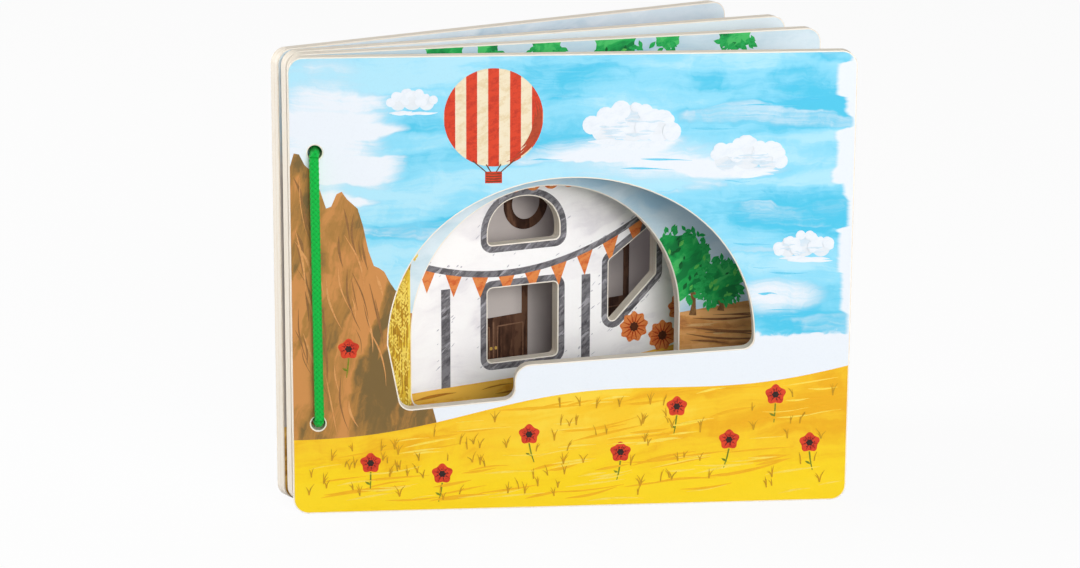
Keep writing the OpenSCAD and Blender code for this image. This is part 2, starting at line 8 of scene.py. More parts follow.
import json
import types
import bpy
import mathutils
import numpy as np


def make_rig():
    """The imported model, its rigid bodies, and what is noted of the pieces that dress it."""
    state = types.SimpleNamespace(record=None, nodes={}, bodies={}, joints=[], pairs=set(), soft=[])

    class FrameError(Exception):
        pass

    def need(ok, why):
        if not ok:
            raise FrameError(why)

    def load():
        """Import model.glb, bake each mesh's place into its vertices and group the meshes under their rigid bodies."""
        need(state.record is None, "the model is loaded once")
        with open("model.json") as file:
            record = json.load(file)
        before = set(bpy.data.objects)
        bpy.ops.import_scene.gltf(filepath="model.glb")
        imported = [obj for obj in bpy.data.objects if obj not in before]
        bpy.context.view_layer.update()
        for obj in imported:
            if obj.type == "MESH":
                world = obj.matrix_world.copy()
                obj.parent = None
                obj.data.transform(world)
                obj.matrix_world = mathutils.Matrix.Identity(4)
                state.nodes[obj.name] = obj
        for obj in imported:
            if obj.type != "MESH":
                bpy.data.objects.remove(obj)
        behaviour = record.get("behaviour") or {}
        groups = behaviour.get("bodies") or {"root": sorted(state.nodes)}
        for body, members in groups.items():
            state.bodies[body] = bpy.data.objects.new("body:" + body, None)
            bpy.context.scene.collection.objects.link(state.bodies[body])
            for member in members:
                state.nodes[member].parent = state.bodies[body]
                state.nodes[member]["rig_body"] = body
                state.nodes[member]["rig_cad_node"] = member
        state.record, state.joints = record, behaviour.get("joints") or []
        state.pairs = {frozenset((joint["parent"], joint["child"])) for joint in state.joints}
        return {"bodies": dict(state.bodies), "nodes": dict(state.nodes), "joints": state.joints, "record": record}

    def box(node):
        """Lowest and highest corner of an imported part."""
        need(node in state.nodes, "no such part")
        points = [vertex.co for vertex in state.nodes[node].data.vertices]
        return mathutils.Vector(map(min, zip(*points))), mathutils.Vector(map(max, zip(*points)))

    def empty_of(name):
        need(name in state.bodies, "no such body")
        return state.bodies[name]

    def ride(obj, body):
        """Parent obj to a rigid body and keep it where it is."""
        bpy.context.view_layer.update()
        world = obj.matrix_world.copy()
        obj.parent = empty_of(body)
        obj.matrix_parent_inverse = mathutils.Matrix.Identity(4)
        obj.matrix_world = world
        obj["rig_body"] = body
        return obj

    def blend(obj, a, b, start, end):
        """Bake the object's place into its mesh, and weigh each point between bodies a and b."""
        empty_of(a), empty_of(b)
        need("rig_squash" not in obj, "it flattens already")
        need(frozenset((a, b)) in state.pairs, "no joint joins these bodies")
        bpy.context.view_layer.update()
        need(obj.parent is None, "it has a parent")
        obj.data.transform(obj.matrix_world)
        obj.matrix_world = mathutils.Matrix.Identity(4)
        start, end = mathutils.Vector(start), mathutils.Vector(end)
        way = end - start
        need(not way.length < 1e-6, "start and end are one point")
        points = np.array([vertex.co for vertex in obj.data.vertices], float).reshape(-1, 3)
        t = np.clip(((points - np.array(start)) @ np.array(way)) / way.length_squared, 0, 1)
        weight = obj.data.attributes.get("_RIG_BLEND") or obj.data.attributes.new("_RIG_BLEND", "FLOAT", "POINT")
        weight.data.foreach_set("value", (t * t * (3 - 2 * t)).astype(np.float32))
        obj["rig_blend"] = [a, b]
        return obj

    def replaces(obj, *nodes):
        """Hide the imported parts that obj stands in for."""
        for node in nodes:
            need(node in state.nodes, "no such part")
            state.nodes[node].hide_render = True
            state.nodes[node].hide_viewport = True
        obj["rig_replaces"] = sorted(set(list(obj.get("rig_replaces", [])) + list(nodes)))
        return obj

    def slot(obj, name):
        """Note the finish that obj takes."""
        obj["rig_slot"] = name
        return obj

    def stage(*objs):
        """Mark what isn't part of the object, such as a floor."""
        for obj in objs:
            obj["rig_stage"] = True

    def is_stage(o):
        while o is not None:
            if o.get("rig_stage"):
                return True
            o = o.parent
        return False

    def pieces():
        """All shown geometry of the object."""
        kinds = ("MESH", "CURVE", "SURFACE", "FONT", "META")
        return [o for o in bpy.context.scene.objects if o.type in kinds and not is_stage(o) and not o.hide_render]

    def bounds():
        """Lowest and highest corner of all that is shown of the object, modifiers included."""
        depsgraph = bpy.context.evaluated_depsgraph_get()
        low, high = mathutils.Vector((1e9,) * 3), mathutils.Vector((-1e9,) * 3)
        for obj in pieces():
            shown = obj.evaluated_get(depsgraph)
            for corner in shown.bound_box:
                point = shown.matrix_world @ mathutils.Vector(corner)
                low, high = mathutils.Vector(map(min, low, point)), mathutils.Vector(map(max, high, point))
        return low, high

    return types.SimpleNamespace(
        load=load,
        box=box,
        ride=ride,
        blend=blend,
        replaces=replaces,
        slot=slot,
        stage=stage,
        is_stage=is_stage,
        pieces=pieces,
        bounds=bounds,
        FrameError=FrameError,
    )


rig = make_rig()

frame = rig.load()

import json
import logging
import math
import random
from collections.abc import Callable, Sequence
from dataclasses import dataclass, field
from enum import Enum

import bpy
from mathutils import Matrix, Vector
from mathutils.bvhtree import BVHTree

log = logging.getLogger("picture_book")

MM = 0.001
BOARD_W = 218.0
BOARD_H = 180.0

# Linear red, green and blue
Colour = tuple[float, float, float]
# A place on a leaf: from the spine edge and from the bottom edge, in millimetres
Spot = tuple[float, float]
# A round shape on a leaf: its middle, like a spot, and its radius
Round = tuple[float, float, float]
# Places along a line, from 0 at its start to 1 at its end
Shares = Sequence[float]


def ink(code: str) -> Colour:
    """Turn a screen colour into the linear values that a shader takes.

    Args:
        code: Six hexadecimal digits, red first.

    Returns:
        The linear red, green and blue.
    """
    parts = [int(code[i : i + 2], 16) / 255 for i in (0, 2, 4)]
    red, green, blue = [p / 12.92 if p <= 0.04045 else ((p + 0.055) / 1.055) ** 2.4 for p in parts]
    return (red, green, blue)


class Operation(Enum):
    """The sums that a Math node does for a Sum."""

    ADD = "ADD"
    TAKE = "SUBTRACT"
    TIMES = "MULTIPLY"
    OVER = "DIVIDE"
    POWER = "POWER"
    LEAST = "MINIMUM"
    MOST = "MAXIMUM"
    SIZE = "ABSOLUTE"
    SINE = "SINE"


class Sum:
    """A number that varies over a surface. Sums on it add Math nodes."""

    def __init__(self, paint: "Paint", socket: bpy.types.NodeSocket) -> None:
        """Hold a socket and the material that it belongs to."""
        self.paint = paint
        self.socket = socket

    def _with(self, operation: Operation, *values: "Sum | float") -> "Sum":
        """Add one Math node on the given values."""
        sockets = dict(enumerate(values))
        return self.paint.number("ShaderNodeMath", {"operation": operation.value}, sockets)

    def __add__(self, other: "Sum | float") -> "Sum":
        """Add."""
        return self._with(Operation.ADD, self, other)

    def __radd__(self, other: float) -> "Sum":
        """Add to a plain number."""
        return self._with(Operation.ADD, other, self)

    def __sub__(self, other: "Sum | float") -> "Sum":
        """Take away."""
        return self._with(Operation.TAKE, self, other)

    def __rsub__(self, other: float) -> "Sum":
        """Take away from a plain number."""
        return self._with(Operation.TAKE, other, self)

    def __mul__(self, other: "Sum | float") -> "Sum":
        """Multiply."""
        return self._with(Operation.TIMES, self, other)

    def __rmul__(self, other: float) -> "Sum":
        """Multiply a plain number."""
        return self._with(Operation.TIMES, other, self)

    def __truediv__(self, other: "Sum | float") -> "Sum":
        """Divide."""
        return self._with(Operation.OVER, self, other)

    def __rtruediv__(self, other: float) -> "Sum":
        """Divide a plain number."""
        return self._with(Operation.OVER, other, self)

    def __pow__(self, other: "Sum | float") -> "Sum":
        """Raise to a power."""
        return self._with(Operation.POWER, self, other)

    def __abs__(self) -> "Sum":
        """Drop the sign."""
        return self._with(Operation.SIZE, self)

    def most(self, other: "Sum | float") -> "Sum":
        """Take the larger of two values."""
        return self._with(Operation.MOST, self, other)

    def least(self, other: "Sum | float") -> "Sum":
        """Take the smaller of two values."""
        return self._with(Operation.LEAST, self, other)

    def sine(self) -> "Sum":
        """Take the sine of an angle in radians."""
        return self._with(Operation.SINE, self)

    def step(self, low: float, high: float) -> "Sum":
        """Rise smoothly from 0 to 1.

        Args:
            low: The value at which the rise starts.
            high: The value at which it ends. Where this is the lower, the number falls instead.

        Returns:
            The number from 0 to 1.
        """
        settings = {"interpolation_type": "SMOOTHSTEP"}
        sockets = {"Value": self, "From Min": low, "From Max": high}
        return self.paint.number("ShaderNodeMapRange", settings, sockets)


class Tint:
    """A colour that varies over a surface."""

    def __init__(self, paint: "Paint", socket: bpy.types.NodeSocket) -> None:
        """Hold a socket and the material that it belongs to."""
        self.paint = paint
        self.socket = socket

    def over(self, other: "Tint | Colour", share: "Sum | float") -> "Tint":
        """Lay another colour over this one.

        Args:
            other: The colour that is laid on.
            share: How much of it shows, from 0 to 1.

        Returns:
            The mixed colour.
        """
        return self.paint.mixed(self, other, share)


# A vector that varies over a surface
Place = bpy.types.NodeSocket
# What an input of a node takes, and a node's inputs and properties by name
Link = Sum | Tint | float | tuple | Place
Links = dict[str | int, Link]
Settings = dict[str, object]


class Paint:
    """A material under construction, with one method for each sort of node value."""

    def __init__(self, name: str) -> None:
        """Start an empty material with its output.

        Args:
            name: The material's name.
        """
        self.material = bpy.data.materials.new(name)
        self.material.use_nodes = True
        self.tree = self.material.node_tree
        self.tree.nodes.clear()
        self.output = self.tree.nodes.new("ShaderNodeOutputMaterial")

    def node(self, kind: str, settings: Settings, sockets: Links) -> bpy.types.Node:
        """Add a node.

        Args:
            kind: The node's type.
            settings: Its own properties, which are set first.
            sockets: Values or links for its inputs, by name or place.

        Returns:
            The new node.
        """
        made = self.tree.nodes.new(kind)
        for key, value in settings.items():
            setattr(made, key, value)
        for key, value in sockets.items():
            target = made.inputs[key]
            if isinstance(value, (Sum, Tint)):
                self.tree.links.new(value.socket, target)
            elif isinstance(value, bpy.types.NodeSocket):
                self.tree.links.new(value, target)
            elif isinstance(value, tuple) and target.type == "RGBA":
                target.default_value = (*value, 1.0)
            else:
                target.default_value = value
        return made

    def number(self, kind: str, settings: Settings, sockets: Links, out: int = 0) -> Sum:
        """Add a node whose output is a number."""
        return Sum(self, self.node(kind, settings, sockets).outputs[out])

    def mixed(self, first: Tint | Colour, second: Tint | Colour, share: Sum | float) -> Tint:
        """Mix two colours.

        Args:
            first: The colour at share 0.
            second: The colour at share 1.
            share: Where between them.

        Returns:
            The mixed colour.
        """
        settings = {"data_type": "RGBA", "clamp_factor": True}
        made = self.node("ShaderNodeMix", settings, {0: share, 6: first, 7: second})
        return Tint(self, made.outputs[2])

    def vector(self, x: Sum | float, y: Sum | float, z: Sum | float = 0.0) -> Place:
        """Join three numbers into a vector."""
        return self.node("ShaderNodeCombineXYZ", {}, {0: x, 1: y, 2: z}).outputs[0]

    def noise(self, place: Place, detail: float, rough: float = 0.5, twist: float = 0.0) -> Sum:
        """Add noise that has about one swell for each unit of place."""
        sockets = {"Vector": place, "Scale": 1.0, "Detail": detail, "Roughness": rough, "Distortion": twist}
        return self.number("ShaderNodeTexNoise", {}, sockets)

    def patchwork(self, place: Place) -> Sum:
        """Give each stroke-sized cell its own tone.

        Args:
            place: The place, in which a cell is about one unit wide.

        Returns:
            The tone, from 0 to 1.
        """
        settings = {"feature": "SMOOTH_F1", "voronoi_dimensions": "3D"}
        sockets = {"Vector": place, "Scale": 1.0, "Smoothness": 0.35, "Randomness": 1.0}
        return self.number("ShaderNodeTexVoronoi", settings, sockets, 1)

    def surface(self, colour: Tint | Colour, rough: Sum | float, sockets: Links) -> None:
        """Finish the material with one surface shader.

        Args:
            colour: Its base colour.
            rough: Its roughness.
            sockets: Any other sockets of the shader.
        """
        inputs: Links = {"Base Color": colour, "Roughness": rough}
        inputs.update(sockets)
        shader = self.node("ShaderNodeBsdfPrincipled", {}, inputs)
        self.tree.links.new(shader.outputs[0], self.output.inputs["Surface"])

    def bump(self, height: Sum, strength: float, depth_mm: float) -> bpy.types.NodeSocket:
        """Turn a height into a normal."""
        sockets = {"Height": height, "Strength": strength, "Distance": depth_mm * MM}
        return self.node("ShaderNodeBump", {}, sockets).outputs[0]

    def wear(self, thing: bpy.types.Object) -> None:
        """Put the material on an object, in place of all that it has."""
        thing.data.materials.clear()
        thing.data.materials.append(self.material)


# Places: each leaf of the book, worked out from the frame


@dataclass(frozen=True)
class Leaf:
    """One board of the book with its print, and where it stands."""

    name: str
    number: int
    corner: Vector
    along: Vector
    through: Vector
    thickness: float

    def point(self, x: float, y: float, z: float) -> Vector:
        """Find a point on the leaf.

        Args:
            x: Distance from the spine edge, in millimetres.
            y: Depth behind the front face, in millimetres.
            z: Height above the bottom edge, in millimetres.

        Returns:
            The point in the frame, in metres.
        """
        return self.corner + self.along * (x * MM) + self.through * (y * MM) + Vector((0, 0, z * MM))

    def place(self, paint: Paint) -> tuple[Sum, Sum, Sum]:
        """Give a material the leaf's own places.

        Args:
            paint: The material that needs them.

        Returns:
            Distance from the spine edge, height and depth, in millimetres.
        """
        coords = paint.node("ShaderNodeTexCoord", {}, {}).outputs["Object"]
        taken = {"operation": "SUBTRACT"}
        rel = paint.node("ShaderNodeVectorMath", taken, {0: coords, 1: tuple(self.corner)}).outputs[0]
        dot = {"operation": "DOT_PRODUCT"}
        axes = (self.along / MM, Vector((0, 0, 1 / MM)), self.through / MM)
        along, up, deep = [
            paint.number("ShaderNodeVectorMath", dot, {0: rel, 1: tuple(axis)}, 1) for axis in axes
        ]
        return along, up, deep


class Binding:
    """What the frame says of the boards: their places, thickness, height and turning line."""

    boards = ("front", "second", "third", "back")

    def __init__(self) -> None:
        """Read the boards' places from the frame."""
        low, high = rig.box("front_board")
        joints = {joint["name"]: joint for joint in frame["joints"]}
        self.axis = Vector(joints["front_hinge"]["pos_m"])
        self.inset = low.x - self.axis.x
        self.thickness = (high.y - low.y) / MM
        self.height = (high.z - low.z) / MM
        ahead = (self.axis.y - low.y) / MM
        pitch = (2 * ahead - self.thickness) / (len(self.boards) - 1)
        opened = [0.0]
        for name in self.boards[:-1]:
            opened.append(opened[-1] - joints[f"{name}_hinge"]["range_deg"][0])
        self.leaves: list[Leaf] = []
        for number, name in enumerate(self.boards):
            angle = math.radians(opened[number])
            along = Vector((math.cos(angle), math.sin(angle), 0))
            through = Vector((-math.sin(angle), math.cos(angle), 0))
            corner = self.axis * 1.0
            corner.z = low.z
            corner += along * self.inset - through * ((ahead - number * pitch) * MM)
            self.leaves.append(Leaf(name, number, corner, along, through, self.thickness))

    def leaf(self, name: str) -> Leaf:
        """Find a leaf by its name."""
        return self.leaves[self.boards.index(name)]


# Finishes


@dataclass(frozen=True)
class Patch:
    """A soft oval in which a wash is thin or pooled, in millimetres on its leaf."""

    x: float
    z: float
    half_w: float
    half_h: float
    weight: float = 1.0


@dataclass(frozen=True)
class Reach:
    """The area that the brush reached, in millimetres on its leaf, with ragged ends."""

    left: float = -20.0
    right: float = 240.0
    low: float = -20.0
    high: float = 200.0
    ragged: float = 14.0


@dataclass(frozen=True)
class Brush:
    """How strongly each trait of a wash shows."""

    broad: float = 1.7
    dabs: float = 1.1
    pool: float = 1.0
    hairs: float = 0.4
    fade: float = 0.85
    rim: float = 1.1
    grain: float = 0.1


@dataclass(frozen=True)
class Wash:
    """Watercolour laid in brush strokes over a ground that shows between them.

    The fade's tint is full at the first height of its span and gone at the second.
    """

    name: str
    pale: str
    middle: str
    deep: str
    stroke: tuple[float, float] = (60.0, 7.0)
    tilt: float = 0.0
    ground: str = "F3F4F8"
    contrast: float = 1.0
    reach: Reach | None = None
    gaps: tuple[Patch, ...] = ()
    pools: tuple[Patch, ...] = ()
    fade_tint: str | None = None
    fade_span: tuple[float, float] = (0.0, 50.0)
    seed: float = 0.0
    brush: Brush = Brush()

    def dress(self, thing: bpy.types.Object, leaf: Leaf) -> None:
        """Paint an object of a leaf.

        Args:
            thing: The object.
            leaf: The leaf that it lies on.
        """
        paint = Paint(f"{self.name}_{leaf.name}")
        along, up, _ = leaf.place(paint)
        turn = math.radians(self.tilt)
        run = along * math.cos(turn) + up * math.sin(turn)
        rise = up * math.cos(turn) - along * math.sin(turn)
        length, width = self.stroke
        sway = paint.noise(self._place((run, rise), (length * 0.8, width * 3), 3.1), 2.0)
        wobble = paint.noise(self._place((run, rise), (width * 0.9, width * 0.9), 2.4), 2.0, 0.6)
        rise = rise + (sway - 0.5) * (width * 1.5) + (wobble - 0.5) * (width * 0.45)
        run = run + (wobble - 0.5) * (length * 0.2)
        spot = (run, rise)
        broad = paint.noise(self._place(spot, (length * 1.5, width * 2.6), 0.0), 3.0, 0.55, 0.3)
        dabs = paint.patchwork(self._place(spot, (length, width), 0.5))
        hairs = paint.noise(self._place(spot, (length * 0.7, width * 0.13), 7.7), 3.0, 0.6)
        pool = paint.noise(self._place(spot, (width * 1.7, width * 1.2), 5.2), 4.0, 0.62, 0.5)
        grain = paint.noise(self._place((along, up), (0.8, 0.8), 1.3), 2.0, 0.7)
        brush = self.brush
        swing = (broad - 0.5) * brush.broad + (dabs - 0.5) * brush.dabs
        swing = swing + (pool - 0.5) * brush.pool + (hairs - 0.5) * brush.hairs
        tone = swing * self.contrast + 0.5
        if self.pools:
            tone = tone + self._ovals(self.pools, along, up) * 0.5
        deep = ink(self.deep)
        colour = paint.mixed(ink(self.pale), ink(self.middle), tone.step(0.1, 0.55))
        colour = colour.over(deep, tone.step(0.5, 1.0))
        if self.fade_tint is not None:
            drift = up + (hairs - 0.5) * 10 + (pool - 0.5) * 26
            full, gone = self.fade_span
            colour = colour.over(ink(self.fade_tint), (1 - drift.step(full, gone)) * brush.fade)
        covered = self._covered((along, up), hairs, pool, dabs)
        if covered is not None:
            colour = colour.over(deep, covered * (1 - covered) * brush.rim)
            colour = paint.mixed(ink(self.ground), colour, covered)
        colour = colour.over((0.0, 0.0, 0.0), (grain - 0.5).most(0) * brush.grain)
        normal = paint.bump(hairs * 0.5 + grain * 0.5, 0.25, 0.05)
        paint.surface(colour, 0.46 + (hairs - 0.5) * 0.16, {"Normal": normal, "Specular IOR Level": 0.2})
        paint.wear(thing)

    def _place(self, spot: tuple[Sum, Sum], size: tuple[float, float], shift: float) -> Place:
        """Find a place in a field of noise.

        Args:
            spot: The place on the leaf, along the strokes and across them.
            size: How long and how wide one swell is, in millimetres.
            shift: Sets this trait of the wash apart from the others.

        Returns:
            The place, with the wash's own seed.
        """
        return spot[0].paint.vector(spot[0] / size[0], spot[1] / size[1], self.seed + shift)

    def _ovals(self, patches: tuple[Patch, ...], along: Sum, up: Sum) -> Sum:
        """Find how far inside the nearest oval a spot lies.

        Args:
            patches: The ovals.
            along: Distance from the spine edge.
            up: Height.

        Returns:
            The oval's weight at its middle, falling to 0 at its edge.
        """
        inside: list[Sum] = []
        for patch in patches:
            across, upward = (along - patch.x) / patch.half_w, (up - patch.z) / patch.half_h
            inside.append((1 - (across**2 + upward**2)).most(0) * patch.weight)
        most = inside[0]
        for oval in inside[1:]:
            most = most.most(oval)
        return most

    def _covered(self, spot: tuple[Sum, Sum], hairs: Sum, pool: Sum, dabs: Sum) -> Sum | None:
        """Work out where the wash lies and where the ground is bare.

        Args:
            spot: Distance from the spine edge, and height.
            hairs: The fine streaks of the brush.
            pool: The pooled swells of the wash.
            dabs: The tone of each stroke.

        Returns:
            1 where the wash lies, 0 where it is bare, or None where it lies all over.
        """
        along, up = spot
        covered: Sum | None = None
        if self.reach is not None:
            rag = (dabs - 0.5) * (2.0 * self.reach.ragged) + (hairs - 0.5) * (0.4 * self.reach.ragged)
            sides = (self.reach.right - along + rag).least(along - self.reach.left + rag)
            drip = (pool - 0.5) * (3.0 * self.reach.ragged) + (dabs - 0.5) * (1.4 * self.reach.ragged)
            ends = (self.reach.high - up + drip).least(up - self.reach.low + drip)
            covered = sides.least(ends).step(0.0, 2.4)
        if self.gaps:
            thin = self._ovals(self.gaps, along, up)
            streaks = (hairs - 0.5) * 0.28 + (dabs - 0.5) * 1.0 + (pool - 0.5) * 0.5
            filled = 1 - (thin * 0.62 + streaks).step(0.18, 0.66)
            covered = filled if covered is None else covered * filled
        return covered


@dataclass(frozen=True)
class Gouache:
    """Flat poster colour with a little brush texture, for small shapes and strokes."""

    name: str
    colour: str
    shade: str
    grain_mm: float = 3.0
    tilt: float = 20.0

    def dress(self, thing: bpy.types.Object, leaf: Leaf) -> None:
        """Paint an object of a leaf.

        Args:
            thing: The object.
            leaf: The leaf that it lies on.
        """
        paint = Paint(f"{self.name}_{leaf.name}")
        along, up, _ = leaf.place(paint)
        turn = math.radians(self.tilt)
        run = along * math.cos(turn) + up * math.sin(turn)
        rise = up * math.cos(turn) - along * math.sin(turn)
        dabs = paint.noise(paint.vector(run / self.grain_mm, rise / (self.grain_mm * 0.5)), 3.0, 0.6, 0.5)
        grain = paint.noise(paint.vector(along / 0.7, up / 0.7), 2.0, 0.6)
        shaded = (dabs + (grain - 0.5) * 0.4).step(0.4, 0.72)
        colour = paint.mixed(ink(self.colour), ink(self.shade), shaded)
        normal = paint.bump(dabs, 0.2, 0.05)
        paint.surface(colour, 0.42 + grain * 0.16, {"Normal": normal, "Specular IOR Level": 0.2})
        paint.wear(thing)


@dataclass(frozen=True)
class Limewood:
    """Pale close-grained plywood, satin, with its plies faint at the edges."""

    name: str = "board_wood"
    pale: Colour = ink("F8F0E3")
    dark: Colour = ink("EAD8BC")
    glue: Colour = ink("CDAE82")
    pore: Colour = ink("A98358")
    plies: int = 5

    def dress(self, thing: bpy.types.Object, leaf: Leaf) -> None:
        """Give a board its wood.

        Args:
            thing: The board.
            leaf: Its leaf.
        """
        paint = Paint(f"{self.name}_{leaf.name}")
        along, up, deep = leaf.place(paint)
        fibre = paint.noise(paint.vector(along / 26, up / 0.8, deep / 0.5), 4.0, 0.65, 0.2)
        flame = paint.noise(paint.vector(along / 60, up / 9, deep / 3), 2.0, 0.5, 0.6)
        ply = (deep * (math.tau * self.plies / 2 / leaf.thickness)).sine()
        pores = paint.noise(paint.vector(along / 3.5, up / 0.35, deep / 0.35), 2.0, 0.7)
        colour = paint.mixed(self.pale, self.dark, (fibre - 0.36).step(0.0, 0.45) * 0.42)
        colour = colour.over(self.dark, flame.step(0.5, 0.75) * 0.25)
        colour = colour.over(self.glue, ply.step(0.55, 1.0) * 0.16)
        colour = colour.over(self.pore, (pores - 0.62).step(0.0, 0.14) * 0.25)
        relief = fibre * 0.6 + pores * 0.4
        rough = 0.52 + (fibre - 0.5) * 0.2
        normal = paint.bump(relief, 0.3, 0.06)
        paint.surface(colour, rough, {"Normal": normal, "Specular IOR Level": 0.4})
        paint.wear(thing)


@dataclass(frozen=True)
class Braid:
    """Round braided cord of bright green yarn."""

    name: str = "green_cord"
    bright: Colour = ink("04B842")
    # Painted shade: the dark green laid in the gaps between the stitches
    dark: Colour = ink("02501C")
    # Painted highlight: the paler green laid on the tops of the stitches
    stitch_highlight: Colour = ink("1CD060")
    strands: int = 5
    lay_mm: float = 2.1
    depth_mm: float = 0.3
    plump: float = 0.4

    def height(self, turns: float, length: float) -> float:
        """Find how high the yarns lie.

        Args:
            turns: Turns round the cord.
            length: Distance along the cord, in millimetres.

        Returns:
            From 0 in the gaps to 1 on top of a stitch.
        """
        left = math.sin(math.pi * (self.strands * turns + length / self.lay_mm))
        right = math.sin(math.pi * (self.strands * turns - length / self.lay_mm))
        return abs(left * right) ** self.plump

    def dress(self, thing: bpy.types.Object) -> None:
        """Give a length of cord its yarn, over the same braid as its mesh has, with painted shade in the gaps and a
        painted highlight on the stitch tops.

        Args:
            thing: The length of cord.
        """
        paint = Paint(f"{self.name}_{thing.name}")
        uv = paint.node("ShaderNodeUVMap", {"uv_map": "lay"}, {}).outputs[0]
        parts = paint.node("ShaderNodeSeparateXYZ", {}, {0: uv})
        ring = Sum(paint, parts.outputs[0]) * (math.pi * self.strands)
        lay = Sum(paint, parts.outputs[1]) * (math.pi / self.lay_mm)
        left = (ring + lay).sine()
        right = (ring - lay).sine()
        high = abs(left * right) ** self.plump
        fibres = paint.noise(paint.vector(ring * 2.2, lay * 2.2), 3.0, 0.7)
        # Painted shade: dark in the low gaps of the braid, full green where the yarn stands high
        colour = paint.mixed(self.dark, self.bright, (high + (fibres - 0.5) * 0.2).step(0.02, 0.42))
        # Painted highlight: paler green on the tops of the stitches
        colour = colour.over(self.stitch_highlight, high.step(0.8, 1.0) * fibres.step(0.45, 0.7) * 0.4)
        normal = paint.bump(high * 0.7 + fibres * 0.5, 0.6, 0.15)
        sheen = {"Normal": normal, "Sheen Weight": 0.08, "Sheen Roughness": 0.4, "Specular IOR Level": 0.2}
        paint.surface(colour, 0.62 + (fibres - 0.5) * 0.2, sheen)
        paint.wear(thing)


# Brush marks


def smoothed(points: Sequence[Vector], steps: int) -> list[Vector]:
    """Round a line of points.

    Args:
        points: The points that it passes through.
        steps: Stretches between two of them.

    Returns:
        The points of the rounded line, ends included.
    """
    if len(points) < 3:
        return [points[0].lerp(points[-1], i / steps) for i in range(steps + 1)]
    ends = [points[0] * 2 - points[1], *points, points[-1] * 2 - points[-2]]
    line: list[Vector] = []
    for a, b, c, d in zip(ends, ends[1:], ends[2:], ends[3:]):
        for i in range(steps):
            s = i / steps
            bend = (2 * a - 5 * b + 4 * c - d) * s**2 + (3 * b - a - 3 * c + d) * s**3
            line.append((2 * b + (c - a) * s + bend) * 0.5)
    line.append(points[-1].copy())
    return line


def around(x: float, z: float, r: float, turn: float) -> Spot:
    """Find the spot at a distance and a direction, in radians, from a middle."""
    return (x + r * math.cos(turn), z + r * math.sin(turn))


class Field:
    """Tells whether a spot of a leaf lies on one of its fields of print."""

    ahead_mm = 4
    reach_mm = 6

    def __init__(self, node: str, leaf: Leaf) -> None:
        """Read a field's outline from its node.

        Args:
            node: The node's name.
            leaf: The leaf that it lies on.
        """
        mesh = frame["nodes"][node].data
        self.tree = BVHTree.FromPolygons([v.co for v in mesh.vertices], [p.vertices for p in mesh.polygons])
        self.leaf = leaf

    def __contains__(self, spot: Spot) -> bool:
        """Look for the field behind a spot."""
        start = self.leaf.point(spot[0], -self.ahead_mm, spot[1])
        return self.tree.ray_cast(start, self.leaf.through, self.reach_mm * MM)[0] is not None

    def holds(self, line: Sequence[Spot], room: float = 0.6) -> bool:
        """Tell whether all of a line lies on the field.

        Args:
            line: The line's points.
            room: How far the field has to reach past them.

        Returns:
            True where it does.
        """
        nudges = ((0, 0), (room, 0), (-room, 0), (0, room), (0, -room))
        return all((x + dx, z + dz) in self for x, z in line for dx, dz in nudges)


